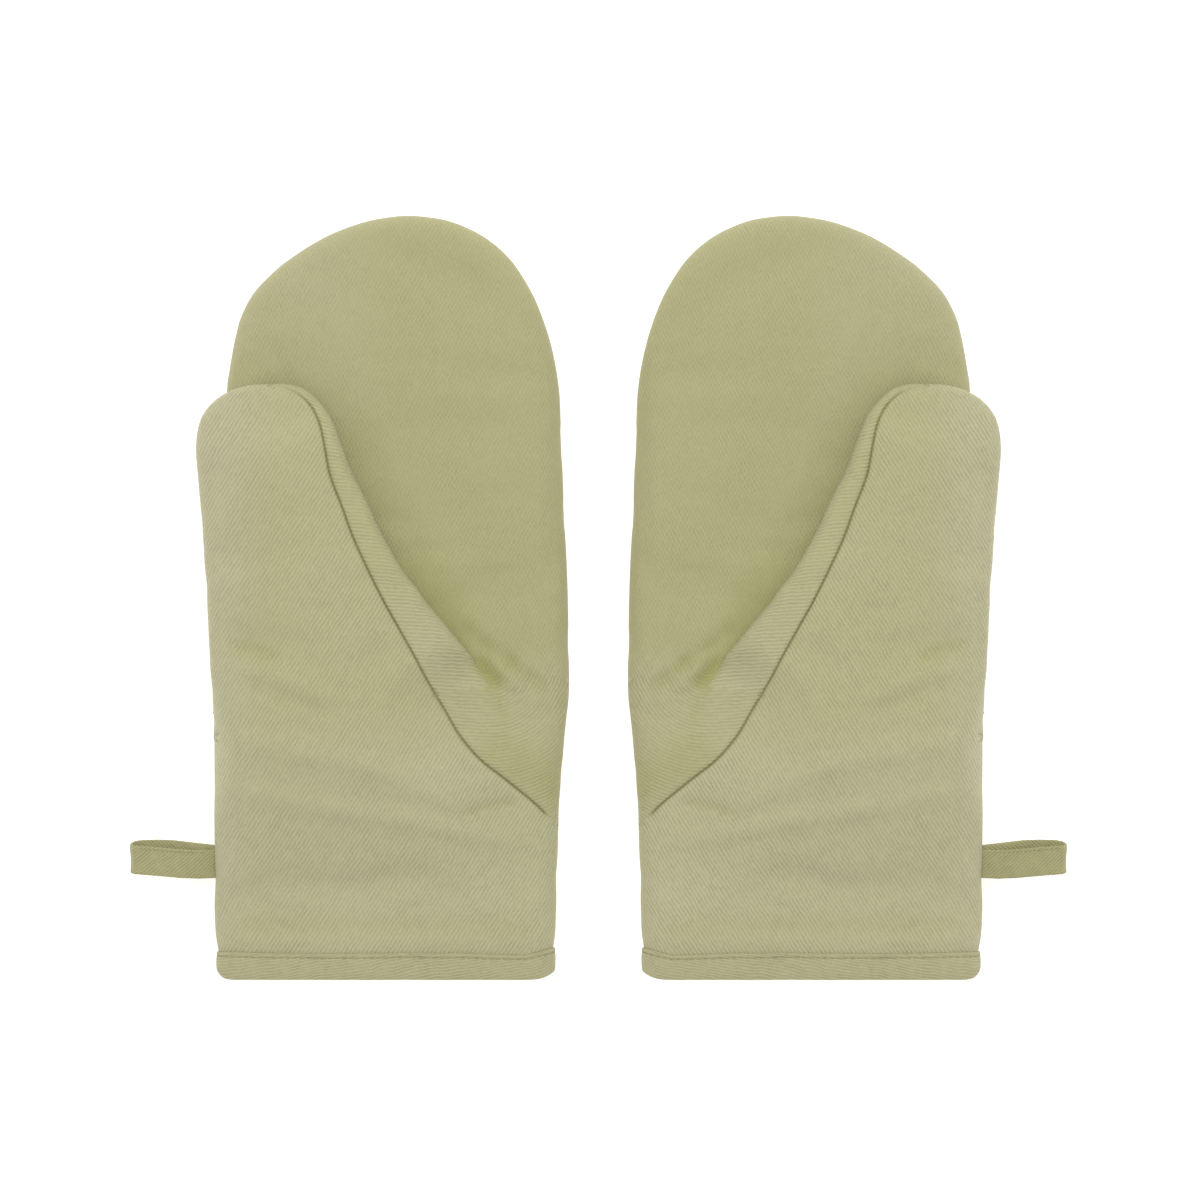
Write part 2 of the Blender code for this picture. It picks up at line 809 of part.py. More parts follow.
def fasten(piece, material, marker=None):
    """Gives a piece its material, and hangs it on the marker of its joint."""
    piece.data.materials.append(material)
    if marker is not None:
        piece.parent = marker
        piece.location = (0.0, 0.0, 0.0)


def build_glove(side, word):
    """Builds one glove: the left one for side -1 and its mirror image for side 1."""
    thumb_marker = joint_marker(f"{word}_thumb_fold", thumb_hinge(side))
    loop_marker = joint_marker(f"{word}_loop_swing", loop_hinge(side))
    for layer, material in LAYER_MATERIALS.items():
        fasten(back_panel(side, word, layer), material())
        for piece in top_panels(side, word, layer):
            fasten(piece, material())
        for piece in thumb_panels(side, word, layer):
            fasten(piece, material(), thumb_marker)
    fasten(cuff_binding(side, word), binding_cloth())
    fasten(hanging_loop(side, word), tape(), loop_marker)


def clear_scene():
    """Removes what the scene holds at the start."""
    for item in list(bpy.data.objects):
        bpy.data.objects.remove(item)


def main():
    """Builds the pair, mirrored about the plane between the gloves."""
    clear_scene()
    build_glove(-1, "left")
    build_glove(1, "right")


main()
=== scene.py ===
"""Dresses a pair of padded oven gloves that lie palm up with their thumbs folded over the palms.

Each glove is cut from twill: a back panel, an inner panel that lines the palm and the inner side of
the thumb, and a front panel that runs from the cuff up the thumb. Behind the twill lie wadding and
a lining. A binding wraps the cuff and a loop of tape stands out of the side seam.

Every length is in metres. A glove's own frame has x across from the middle of its cuff, height up
from the cuff's edge and z up from the table.
"""

import math

import bmesh
import bpy
import numpy as np
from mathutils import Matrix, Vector, geometry, kdtree, noise


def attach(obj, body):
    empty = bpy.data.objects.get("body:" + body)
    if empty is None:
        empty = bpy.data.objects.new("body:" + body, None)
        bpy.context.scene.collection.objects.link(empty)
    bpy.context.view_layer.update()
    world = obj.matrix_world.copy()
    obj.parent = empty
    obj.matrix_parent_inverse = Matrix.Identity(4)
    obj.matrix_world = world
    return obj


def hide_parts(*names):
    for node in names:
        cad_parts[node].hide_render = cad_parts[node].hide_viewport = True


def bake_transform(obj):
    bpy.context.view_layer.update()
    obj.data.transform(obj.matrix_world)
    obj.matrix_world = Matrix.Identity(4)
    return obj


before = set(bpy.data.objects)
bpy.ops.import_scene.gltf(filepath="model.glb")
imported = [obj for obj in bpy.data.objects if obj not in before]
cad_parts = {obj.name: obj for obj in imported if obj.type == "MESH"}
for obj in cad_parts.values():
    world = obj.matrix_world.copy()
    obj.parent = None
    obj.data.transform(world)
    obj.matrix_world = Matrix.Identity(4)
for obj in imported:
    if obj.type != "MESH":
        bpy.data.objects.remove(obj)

bl_info = {
    "name": "Oven glove pair",
    "version": (1, 0, 0),
    "blender": (4, 5, 0),
    "location": "3D View > Sidebar > Oven gloves",
    "description":
        "Dresses a pair of padded oven gloves in twill, wadding, lining, binding and tape",
    "category": "Object",
}

MM = 0.001

# Outlines of the panels in the glove's own frame, in millimetres: across and height
CUFF_LEFT = (-72.1, 0.0)
CUFF_RIGHT = (72.0, 0.0)
FOLD_LEFT = (-74.6, 104.7)
CROTCH = (45.4, 126.7)
WEB_RIGHT = (79.1, 129.3)
SEAM_FOOT = (74.4, 67.0)
SEAM_CROSSING = (21.7, 123.1)
THUMB_TOP = (-49.0, 257.0)

LEFT_LOW = (
    CUFF_LEFT, (-72.1, 9.5), (-72.7, 14.0), (-73.5, 19.0), (-73.9, 26.0), (-74.0, 36.0),
    (-74.2, 60.0), (-74.5, 85.0), FOLD_LEFT,
)
HAND_HIGH = (
    FOLD_LEFT, (-73.9, 120.5), (-73.0, 147.0), (-71.5, 198.0), (-69.8, 231.0), (-68.7, 255.6),
    (-67.6, 263.0), (-66.2, 271.2), (-64.6, 279.0), (-62.3, 286.7), (-56.6, 297.1),
    (-46.7, 307.1), (-39.9, 312.2), (-31.9, 317.4), (-22.1, 322.5), (-9.2, 327.1),
    (2.0, 329.2), (10.0, 329.8), (19.0, 329.1), (28.0, 327.3), (38.5, 322.9), (46.2, 317.9),
    (51.9, 312.7), (56.2, 307.5), (62.5, 297.1), (67.0, 286.7), (70.4, 276.4), (72.8, 266.0),
    (74.4, 256.0), (75.0, 250.0), (75.9, 233.1), (76.9, 207.2), (77.9, 181.2), (78.6, 163.9),
    (79.0, 146.6), WEB_RIGHT,
)
RIGHT_MIDDLE = (
    WEB_RIGHT, (78.6, 120.7), (77.5, 112.0), (76.8, 103.4), (76.4, 94.7), (75.8, 86.1),
    (74.9, 77.0), SEAM_FOOT,
)
RIGHT_LOW = (
    SEAM_FOOT, (74.3, 55.0), (73.8, 42.8), (73.6, 30.0), (73.3, 21.0), (72.8, 17.0),
    (72.2, 13.0), (72.0, 9.0), CUFF_RIGHT,
)
THUMB_LEFT = (
    FOLD_LEFT, (-74.7, 112.0), (-75.0, 122.0), (-75.8, 146.6), (-77.1, 167.0), (-77.9, 181.2),
    (-79.2, 196.0), (-80.2, 212.0), (-81.2, 223.0), (-81.4, 232.0), (-80.0, 240.5),
    (-77.0, 246.1), (-72.9, 250.4), (-67.0, 253.9), (-58.4, 256.5), THUMB_TOP,
)
THUMB_RIGHT = (
    THUMB_TOP, (-42.0, 256.9), (-34.4, 254.5), (-27.7, 248.3), (-22.6, 240.1), (-17.7, 227.6),
    (-10.4, 211.0), (-3.7, 197.5), (3.7, 183.4), (11.7, 171.5), (20.0, 160.7), (27.4, 151.2),
    (34.6, 142.5), (39.8, 136.0), CROTCH,
)
SEAM_HIGH = (
    SEAM_CROSSING, (19.1, 127.7), (15.4, 134.2), (11.0, 142.5), (3.7, 155.6), (-1.4, 164.9),
    (-7.8, 178.0), (-13.5, 190.4), (-18.7, 204.3), (-23.8, 217.9), (-26.2, 229.8),
    (-28.4, 239.6), (-32.2, 247.4), (-38.6, 253.1), THUMB_TOP,
)
SEAM_LOW = (
    SEAM_FOOT, (69.2, 71.6), (62.7, 77.5), (56.2, 82.8), (49.9, 87.9), (43.1, 93.1),
    (36.7, 99.5), (30.7, 107.6), (26.0, 116.0), SEAM_CROSSING,
)

# The closed outline of each panel as lines and the way they run
PANEL_OUTLINES = {
    "front": (
        ("cuff_front", 1), ("right_low", -1), ("seam_low", 1), ("seam_high", 1),
        ("thumb_left", -1), ("left_low", -1),
    ),
    "web": (("right_middle", -1), ("web_top", -1), ("crossing", -1), ("seam_low", -1)),
    "palm": (("crease", 1), ("web_top", 1), ("hand_high", -1)),
    "strip": (("crossing", 1), ("thumb_right", -1), ("seam_high", -1)),
    "under": (("crease", 1), ("thumb_right", -1), ("thumb_left", -1)),
    "back": (
        ("cuff_back", 1), ("right_low", -1), ("right_middle", -1), ("hand_high", -1),
        ("left_low", -1),
    ),
}

# Lines on which a panel turns over an edge, and lines along which it is sewn flat
TURNED_LINES = {
    "front": ("left_low", "thumb_left", "right_low"),
    "web": ("right_middle",),
    "palm": ("hand_high",),
    "strip": ("thumb_right",),
    "under": ("thumb_right", "thumb_left"),
    "back": ("right_low", "right_middle", "hand_high", "left_low"),
}
SEWN_LINES = {"front": ("seam_low", "seam_high"), "web": ("seam_low",), "strip": ("seam_high",)}

# Soft ridges and dents of the cloth: two ends, half width and height, in millimetres
PALM_FOLDS = (
    (46.9, 138.6, 56.0, 127.0, 2.7, 1.3),
    (58.0, 125.5, 69.0, 120.5, 4.5, 0.5),
    (34.0, 151.5, 41.0, 145.2, 3.0, -0.8),
    (42.0, 144.5, 53.6, 136.8, 3.0, -1.3),
    (54.5, 136.2, 66.6, 127.0, 3.0, -1.4),
    (47.5, 119.5, 50.5, 113.0, 2.8, -0.9),
    (66.0, 132.0, 73.0, 121.0, 5.0, 0.5),
    (-20.0, 262.0, 30.0, 250.0, 22.0, 0.5),
    (20.0, 205.0, 60.0, 180.0, 20.0, -0.5),
)

# The pocket that the crotch draws into the cloth on both of its sides
POCKET = ((40.5, 136.2, 46.6, 129.0, 3.4, -2.7),)

FRONT_FOLDS = (
    (-63.0, 143.5, -50.0, 139.5, 3.5, -1.2),
    (-58.0, 134.5, -29.0, 123.5, 4.3, 1.6),
    (-57.0, 102.0, -35.0, 98.0, 5.3, 1.5),
    (-33.0, 97.6, -7.0, 92.5, 5.3, 1.6),
    (-5.0, 91.8, 28.0, 78.0, 5.3, 1.5),
    (-56.0, 81.0, -22.0, 74.0, 4.2, 1.6),
    (-20.0, 73.6, 6.0, 69.6, 4.3, 1.7),
    (8.0, 69.2, 50.0, 61.0, 4.4, 1.8),
    (35.5, 72.8, 54.0, 76.8, 1.8, -1.2),
    (33.0, 42.0, 50.0, 31.0, 6.0, 0.8),
    (-45.0, 205.0, -60.0, 170.0, 14.0, 0.5),
    (-60.0, 22.5, 60.0, 21.5, 4.5, -0.9),
)

# Painted shade in the crotch's pocket and the valleys beside it, where shade falls: two ends, half
# width and depth
PAINTED_SHADE_SPOTS = (
    (41.0, 136.0, 46.8, 129.0, 3.9, 0.80),
    (34.0, 152.0, 41.0, 146.0, 4.4, 0.22),
    (43.0, 144.2, 53.0, 137.5, 3.6, 0.32),
    (55.0, 136.2, 65.5, 128.0, 3.3, 0.28),
    (47.5, 119.5, 51.0, 113.0, 3.2, 0.20),
    (50.0, 98.0, 72.0, 85.0, 9.0, 0.30),
)

# Middles round which the wales of the inner panel turn, in millimetres, and the angles of the
# wales, in degrees
STRIP_FAN = (-18.0, 290.0)
WEB_FAN = (46.0, 133.0)
TIP_WALES, CROTCH_WALES, PALM_WALES = -32.0, -3.5, 62.0
WALE_ANGLES = {"front": 58.0, "back": 60.0, "under": -6.0}

SIDES = (("left", -1), ("right", 1))

# For each cut of cloth: its panels, the solids that it stands for, and whether it crosses the fold
# at the thumb's root rather than following the hand
CUTS = {
    "front": (("front",), ("cuff_front", "thumb_front"), True),
    "palm": (("palm", "web"), ("palm",), False),
    "thumb": (("strip", "under"), ("thumb_inner",), True),
    "back": (("back",), ("back",), False),
}
TOP_PANELS = ("front", "strip", "web")

# How the rounded edges of the cloth run, and the gap between the thumb and the palm
EDGE_POWER = 2.4
SQUARE_POWER = 3.0
FOLD_SHARE = 0.51
LAYER_GAP = 0.0003
BINDING_PINCH = 0.0011

# Rows of points over a turned edge, as shares of its width, and beside a seam
COARSE_SHARES = (0.10, 0.35, 0.72)
FINE_SHARES = (0.02, 0.075, 0.17, 0.30, 0.46, 0.64, 0.83)
SEWN_INSETS = tuple(value * MM for value in (0.35, 0.75, 1.25, 2.0, 3.1))

# The cloth simulation that swells a coarse glove
SETTLING_STEP = 0.0055
SETTLING_FRAMES = 20
SETTLING = {
    "quality": 6, "mass": 0.25, "tension_stiffness": 25, "compression_stiffness": 25,
    "shear_stiffness": 12, "bending_stiffness": 2.5, "tension_damping": 8,
    "compression_damping": 8, "shear_damping": 8, "air_damping": 4, "use_pressure": True,
    "uniform_pressure_force": 3.0, "shrink_min": -0.012, "vertex_group_mass": "pins",
    "pin_stiffness": 1.0,
}
NEIGHBOURS = 7
NEIGHBOUR_REACH = 0.0045

# The cloth's unevenness: height in millimetres, length of a swell and seed of the noise
UNEVENNESS = ((0.35, 0.034, 3.0), (0.16, 0.013, 9.0), (0.05, 0.005, 17.0))

# How deep below the outer cloth the layers begin and end
WADDING_DEPTHS = (0.0021, 0.0042)
LINING_DEPTHS = (0.0047, 0.0052)

# A band beyond the fold at the thumb's root: its width and its level
BEND_WIDTH = 0.026
BEND_LEVEL = 0.0375


class GloveSizes(bpy.types.PropertyGroup):
    """Main sizes of the gloves"""

    cuff_centre: bpy.props.FloatProperty(
        name="Cuff centre", description="How far each cuff's middle lies from the pair's middle",
        default=0.0919, unit="LENGTH")
    length: bpy.props.FloatProperty(
        name="Length", description="From the cuff's edge to the fingertips",
        default=0.330, unit="LENGTH")
    hand_thickness: bpy.props.FloatProperty(
        name="Hand thickness", description="Thickness of the hand with its padding",
        default=0.0202, unit="LENGTH")
    thumb_thickness: bpy.props.FloatProperty(
        name="Thumb thickness", description="Thickness of the thumb with its padding",
        default=0.0167, unit="LENGTH")
    hand_edge: bpy.props.FloatProperty(
        name="Hand edge", description="Width over which the hand rounds off at its side seams",
        default=0.014, unit="LENGTH")
    thumb_edge: bpy.props.FloatProperty(
        name="Thumb edge", description="Width over which the thumb rounds off at its sides",
        default=0.0088, unit="LENGTH")
    strip_edge: bpy.props.FloatProperty(
        name="Strip edge", description="Width over which the thumb turns over beside the palm",
        default=0.0048, unit="LENGTH")
    cloth_step: bpy.props.FloatProperty(
        name="Cloth step", description="Distance between the points of the outer cloth",
        default=0.0021, unit="LENGTH")
    inner_step: bpy.props.FloatProperty(
        name="Inner step", description="Distance between the points of the wadding and lining",
        default=0.0052, unit="LENGTH")
    seam_depth: bpy.props.FloatProperty(
        name="Seam depth", description="How deep the front seam draws the cloth in",
        default=0.0013, unit="LENGTH")
    swelling_cap: bpy.props.FloatProperty(
        name="Swelling cap", description="The most that the padding may push the cloth out",
        default=0.0026, unit="LENGTH")


class TrimSizes(bpy.types.PropertyGroup):
    """Sizes of the cuff's binding and of the hanging loop"""

    binding_width: bpy.props.FloatProperty(
        name="Binding width", description="Width of the binding on the outside of the cuff",
        default=0.012, unit="LENGTH")
    binding_rise: bpy.props.FloatProperty(
        name="Binding rise", description="How far the binding stands out of the twill",
        default=0.0012, unit="LENGTH")
    tape_width: bpy.props.FloatProperty(
        name="Tape width", description="Width of the loop's tape", default=0.0124, unit="LENGTH")
    tape_thickness: bpy.props.FloatProperty(
        name="Tape thickness", description="Thickness of the loop's tape",
        default=0.0011, unit="LENGTH")
    loop_height: bpy.props.FloatProperty(
        name="Loop height", description="Height of the loop's middle above the cuff's edge",
        default=0.0499, unit="LENGTH")
    loop_reach: bpy.props.FloatProperty(
        name="Loop reach", description="How far the loop stands out of the side seam",
        default=0.0362, unit="LENGTH")
    stitch_length: bpy.props.FloatProperty(
        name="Stitch length", description="Length of one stitch of the binding",
        default=0.0021, unit="LENGTH")
    stitch_gap: bpy.props.FloatProperty(
        name="Stitch gap", description="Gap between two stitches", default=0.0009, unit="LENGTH")
    thread_thickness: bpy.props.FloatProperty(
        name="Thread thickness", description="Thickness of the sewing thread",
        default=0.00045, unit="LENGTH")


class ClothLooks(bpy.types.PropertyGroup):
    """Colours and weaves"""

    twill: bpy.props.FloatVectorProperty(
        name="Twill", description="Colour of the outer twill", subtype="COLOR", size=3,
        default=(0.483, 0.459, 0.282), min=0.0, max=1.0)
    # Painted shade: the front's twill made darker and yellower for the palm
    palm: bpy.props.FloatVectorProperty(
        name="Palm", description="Colour of the twill on the palm", subtype="COLOR", size=3,
        default=(0.448, 0.425, 0.240), min=0.0, max=1.0)
    # Painted shade: the tone that darkens and yellows the twill beside the thumb, in dents and
    # hollows, on the strip, on the front away from its left edge and on the back
    painted_shade: bpy.props.FloatVectorProperty(
        name="Painted shade", description="Tone that the shade_painted twill beside the thumb is multiplied by",
        subtype="COLOR", size=3, default=(0.80, 0.83, 0.46), min=0.0, max=1.0)
    # Painted shade: the tone of the dark line in the front seam's groove
    seam_shade: bpy.props.FloatVectorProperty(
        name="Seam shade", description="Tone that the twill along the seam is multiplied by",
        subtype="COLOR", size=3, default=(0.60, 0.61, 0.44), min=0.0, max=1.0)
    binding: bpy.props.FloatVectorProperty(
        name="Binding", description="Colour of the cuff's binding", subtype="COLOR", size=3,
        default=(0.445, 0.420, 0.240), min=0.0, max=1.0)
    tape: bpy.props.FloatVectorProperty(
        name="Tape", description="Colour of the loop's tape", subtype="COLOR", size=3,
        default=(0.405, 0.385, 0.200), min=0.0, max=1.0)
    lining: bpy.props.FloatVectorProperty(
        name="Lining", description="Colour of the lining", subtype="COLOR", size=3,
        default=(0.50, 0.48, 0.31), min=0.0, max=1.0)
    wadding: bpy.props.FloatVectorProperty(
        name="Wadding", description="Colour of the wadding", subtype="COLOR", size=3,
        default=(0.82, 0.80, 0.74), min=0.0, max=1.0)
    thread: bpy.props.FloatVectorProperty(
        name="Thread", description="Colour of the sewing thread", subtype="COLOR", size=3,
        default=(0.375, 0.353, 0.190), min=0.0, max=1.0)
    wale_pitch: bpy.props.FloatProperty(
        name="Wale pitch", description="Distance between two wales of the twill",
        default=0.00157, unit="LENGTH")


class StageLooks(bpy.types.PropertyGroup):
    """The table, the lights and the camera"""

    frame_width: bpy.props.FloatProperty(
        name="Frame width", description="Width of the picture at the gloves' seams",
        default=0.519, unit="LENGTH")
    camera_height: bpy.props.FloatProperty(
        name="Camera height", description="Height of the camera above the table",
        default=6.0, unit="LENGTH")
    sky: bpy.props.FloatProperty(
        name="Sky", description="Strength of the even light all round", default=0.735)
    lamp: bpy.props.FloatProperty(
        name="Lamp", description="Power of the broad lamp overhead", default=64.0, unit="POWER")


def resample(points, step):
    """Runs a smooth line through points given in millimetres, in steps of about one length."""
    knots = np.array(points) * MM
    ends = np.vstack((2 * knots[0] - knots[1], knots, 2 * knots[-1] - knots[-2]))
    parts = np.linspace(0.0, 1.0, 24, endpoint=False)[:, None]
    dense = []
    for index in range(1, len(ends) - 2):
        before, start, end, after = ends[index - 1:index + 3]
        first = (end - before) / 2
        second = 3 * (end - start) - (2 * (end - before) + (after - start)) / 2
        third = 2 * (start - end) + ((end - before) + (after - start)) / 2
        dense.append(start + first * parts + second * parts ** 2 + third * parts ** 3)
    dense = np.vstack((*dense, knots[-1:]))
    spans = np.linalg.norm(np.diff(dense, axis=0), axis=1)
    run = np.concatenate(((0.0,), np.cumsum(spans)))
    count = max(2, round(run[-1] / step))
    places = np.linspace(0.0, run[-1], count + 1)
    line = np.column_stack([np.interp(places, run, dense[:, axis]) for axis in (0, 1)])
    line[0] = knots[0]
    line[-1] = knots[-1]
    return line


def nearest(points, line):
    """For each point: its distance to a line, the foot on it, the way along and the side."""
    starts = line[:-1]
    spans = line[1:] - starts
    squares = (spans ** 2).sum(axis=1)
    run = np.concatenate(((0.0,), np.cumsum(np.sqrt(squares))))
    count = len(points)
    distance = np.zeros(count)
    foot = np.zeros((count, 2))
    along = np.zeros(count)
    left = np.zeros(count, dtype=bool)
    for first in range(0, count, 1500):
        chunk = points[first:first + 1500]
        offset = chunk[:, None, :] - starts[None]
        part = np.clip((offset * spans).sum(axis=2) / squares, 0.0, 1.0)
        feet = starts + part[..., None] * spans
        gaps = ((chunk[:, None, :] - feet) ** 2).sum(axis=2)
        pick = gaps.argmin(axis=1)
        rows = np.arange(len(chunk))
        sel = slice(first, first + len(chunk))
        distance[sel] = np.sqrt(gaps[rows, pick])
        foot[sel] = feet[rows, pick]
        along[sel] = run[pick] + part[rows, pick] * np.sqrt(squares[pick])
        way = spans[pick]
        side = chunk - feet[rows, pick]
        left[sel] = way[:, 0] * side[:, 1] - way[:, 1] * side[:, 0] > 0
    return distance, foot, along, left


def inside(points, loop):
    """Whether each point lies inside a closed loop."""
    found = np.zeros(len(points), dtype=bool)
    ends = np.roll(loop, -1, axis=0)
    for (x1, y1), (x2, y2) in zip(loop, ends):
        if y1 == y2:
            continue
        crosses = (y1 > points[:, 1]) != (y2 > points[:, 1])
        at = (x2 - x1) * (points[:, 1] - y1) / (y2 - y1) + x1
        found ^= crosses & (points[:, 0] < at)
    return found


def rise(part, power=EDGE_POWER):
    """A rounded edge: 0 at the edge with an upright start, 1 on the flat."""
    part = np.clip(part, 0.0, 1.0)
    return (1 - (1 - part) ** power) ** (1 / power)


def ease(part):
    """Rises smoothly from 0 to 1."""
    part = np.clip(part, 0.0, 1.0)
    return part * part * (3 - 2 * part)


def ramp(value, start, span):
    """Rises smoothly from 0 to 1 over a span that begins at a start."""
    return ease((value - start) / span)


def bell(distance, width):
    """Falls from 1 at no distance, to 0.37 at one width and on to 0."""
    return np.exp(-(distance / width) ** 2)


def edge_excess(distance, width, height):
    """How much longer the cloth over a rounded edge is than its shadow, from the flat outwards."""
    places = np.linspace(0.0, 1.0, 200) ** 2
    levels = rise(places) * height
    lengths = np.hypot(np.diff(places * width), np.diff(levels))
    run = np.concatenate((np.cumsum(lengths[::-1])[::-1], (0.0,)))
    extra = run - (1 - places) * width
    return np.interp(np.clip(distance / width, 0.0, 1.0), places, extra)


class Pattern:
    """The cut of one glove: its lines at one step, and the heights of its cloth."""

    def __init__(self, sizes, step):
        self.sizes = sizes
        self.step = step
        self.level = sizes.hand_thickness / 2
        self.swell = sizes.thumb_thickness + LAYER_GAP
        self.lines = {
            "cuff_front": resample((CUFF_LEFT, CUFF_RIGHT), step),
            "cuff_back": resample((CUFF_LEFT, CUFF_RIGHT), step),
            "left_low": resample(LEFT_LOW, step),
            "right_low": resample(RIGHT_LOW, step),
            "right_middle": resample(RIGHT_MIDDLE, step),
            "hand_high": resample(HAND_HIGH, step),
            "thumb_left": resample(THUMB_LEFT, step),
            "thumb_right": resample(THUMB_RIGHT, step),
            "seam_high": resample(SEAM_HIGH, step),
            "seam_low": resample(SEAM_LOW, step),
            "crease": resample((FOLD_LEFT, CROTCH), step),
            "crossing": resample((SEAM_CROSSING, CROTCH), step),
            "web_top": resample((CROTCH, WEB_RIGHT), step),
        }
        lines = self.lines
        self.left_side = np.vstack((lines["left_low"], lines["thumb_left"][1:]))
        self.right_side = np.vstack((lines["thumb_right"], lines["web_top"][1:]))
        self.thumb_side = np.vstack((lines["thumb_left"], lines["thumb_right"][1:]))
        crown = lines["hand_high"][:, 1].argmax()
        right = np.vstack((lines["right_middle"][1:], lines["right_low"][1:]))
        self.hand_right = np.vstack((lines["hand_high"][crown:], right))
        self.hand_outline = np.vstack((lines["left_low"], lines["hand_high"][1:], right))
        self.seam = np.vstack((lines["seam_low"], lines["seam_high"][1:]))

    def reach(self, heights):
        """Half the hand's thickness, drawn in where the binding wraps it."""
        return self.level - BINDING_PINCH * (1 - ramp(heights, 0.012, 0.006))

    def hand_top(self, points):
        """The palm side of the hand without the thumb."""
        distance = nearest(points, self.hand_outline)[0]
        return self.level + self.reach(points[:, 1]) * rise(distance / self.sizes.hand_edge)

    def back(self, points):
        """The side that lies on the table."""
        distance = nearest(points, self.hand_outline)[0]
        return self.level - self.reach(points[:, 1]) * rise(distance / self.sizes.hand_edge)

    @staticmethod
    def tip_share(heights):
        """The share of its thickness that the thumb keeps towards its tip."""
        return 1 - 0.30 * ramp(heights, 0.226, 0.030)

    def left_edge_level(self, heights):
        """The level of the left edge: the side seam, rising to the thumb's own middle."""
        thickness = self.sizes.thumb_thickness / 2 * self.tip_share(heights)
        middle = 2 * self.level + LAYER_GAP + thickness
        climb = ramp(heights, FOLD_LEFT[1] * MM, 0.030)
        return self.level + (middle - self.level) * climb

    def thickness(self, points):
        """The thumb's thickness: thinner where it runs into the palm, and at its tip."""
        root = 1 - 0.52 * ramp(points[:, 0], -0.030, 0.090)
        return self.swell * root * self.tip_share(points[:, 1])

    def thumb_top(self, points):
        """The upper side of the front panel, the strip and the web."""
        heights = points[:, 1]
        climb = ramp(heights, 0.030, FOLD_LEFT[1] * MM - 0.030)
        reach = self.reach(heights)
        swell = self.thickness(points) * climb
        top = self.level + reach + swell
        distance, foot = nearest(points, self.left_side)[:2]
        edge = self.left_edge_level(foot[:, 1])
        thumb_edge = self.sizes.thumb_edge
        turn = ramp(foot[:, 1], 0.095, 0.035)
        width = self.sizes.hand_edge + (thumb_edge - self.sizes.hand_edge) * turn
        from_left = edge + (top - edge) * (
            rise(distance / width) * (1 - turn) + rise(distance / width, SQUARE_POWER) * turn)
        hand_distance = nearest(points, self.hand_right)[0]
        low = self.level + reach * rise(hand_distance / self.sizes.hand_edge)
        free = self.freedom(points)
        distance, _, along, _ = nearest(points, self.right_side)
        width, power = self.strip_turn(along)
        soft = ease(distance / 0.044) * ease(hand_distance / 0.050)
        hard = FOLD_SHARE + (1 - FOLD_SHARE) * rise(distance / width, power)
        from_right = low + swell * ((1 - free) * soft + free * hard)
        return np.minimum(from_left, from_right)

    def freedom(self, points):
        """How free of the palm the thumb is: 0 at the crotch and below, 1 further up."""
        up = (points[:, 1] - CROTCH[1] * MM) * 0.80 - (points[:, 0] - CROTCH[0] * MM) * 0.60
        return ramp(up, 0.006, 0.024)

    def strip_turn(self, along):
        """The width and the squareness of the thumb's turned edge, from its tip downwards."""
        tip = 1 - ease(along / 0.024)
        wider = self.sizes.thumb_edge - self.sizes.strip_edge
        return self.sizes.strip_edge + wider * tip, EDGE_POWER + 0.6 * tip

    def thumb_under(self, points):
        """The thumb's lower side, which lies on the palm."""
        rise_above = nearest(points, self.lines["crease"])[0]
        palm = self.hand_top(points)
        palm[~inside(points, self.hand_outline)] = self.level
        flat = 2 * self.level
        left_distance, left_foot = nearest(points, self.left_side)[:2]
        right_distance, right_foot, right_along, _ = nearest(points, self.right_side)
        left_edge = self.left_edge_level(left_foot[:, 1])
        free = self.freedom(right_foot)
        clearance = LAYER_GAP * ease(rise_above / 0.006) * ease(right_distance / 0.020 + free)
        base = palm + (flat - palm) * ease(rise_above / 0.028) + clearance
        right_edge = flat + FOLD_SHARE * self.thickness(right_foot) * free
        width, power = self.strip_turn(right_along)
        use_left = left_distance < right_distance
        edge = np.where(use_left, left_edge, right_edge)
        round_off = 1 - np.where(
            use_left, rise(left_distance / self.sizes.thumb_edge, SQUARE_POWER),
            rise(right_distance / width, power))
        return base + (edge - base) * round_off * ease(rise_above / 0.012)

    def heights(self, panel, points):
        """The height of a panel's cloth at points of the plan."""
        if panel == "palm":
            return self.hand_top(points)
        if panel == "back":
            return self.back(points)
        if panel == "under":
            return self.thumb_under(points)
        return self.thumb_top(points)

    def loop(self, panel):
        """The panel's closed outline, as points and their names."""
        points = []
        names = []
        for line, way in PANEL_OUTLINES[panel]:
            run = self.lines[line][::way]
            count = len(run)
            for index in range(count - 1):
                points.append(run[index])
                at = index if way > 0 else count - 1 - index
                corner = at in (0, count - 1)
                place = tuple(np.round(run[index] / MM, 3))
                names.append(("corner", *place) if corner else (line, at))
        return np.array(points), names

    def rows(self, panel, turned_shares, sewn_insets):
        """Rows of points that follow the panel's turned and sewn lines."""
        rows = []
        for line, way in PANEL_OUTLINES[panel]:
            run = self.lines[line][::way]
            if line in TURNED_LINES[panel]:
                widths = {"thumb_left": self.sizes.thumb_edge,
                          "thumb_right": self.sizes.strip_edge}
                width = widths.get(line, self.sizes.hand_edge)
                insets = [share * width for share in turned_shares]
            elif line in SEWN_LINES.get(panel, ()):
                insets = sewn_insets
            else:
                continue
            ways = np.gradient(run, axis=0)
            ways /= np.linalg.norm(ways, axis=1)[:, None]
            inwards = np.column_stack((-ways[:, 1], ways[:, 0]))
            for inset in insets:
                rows.append((inset, run[1:-1] + inwards[1:-1] * inset))
        return rows

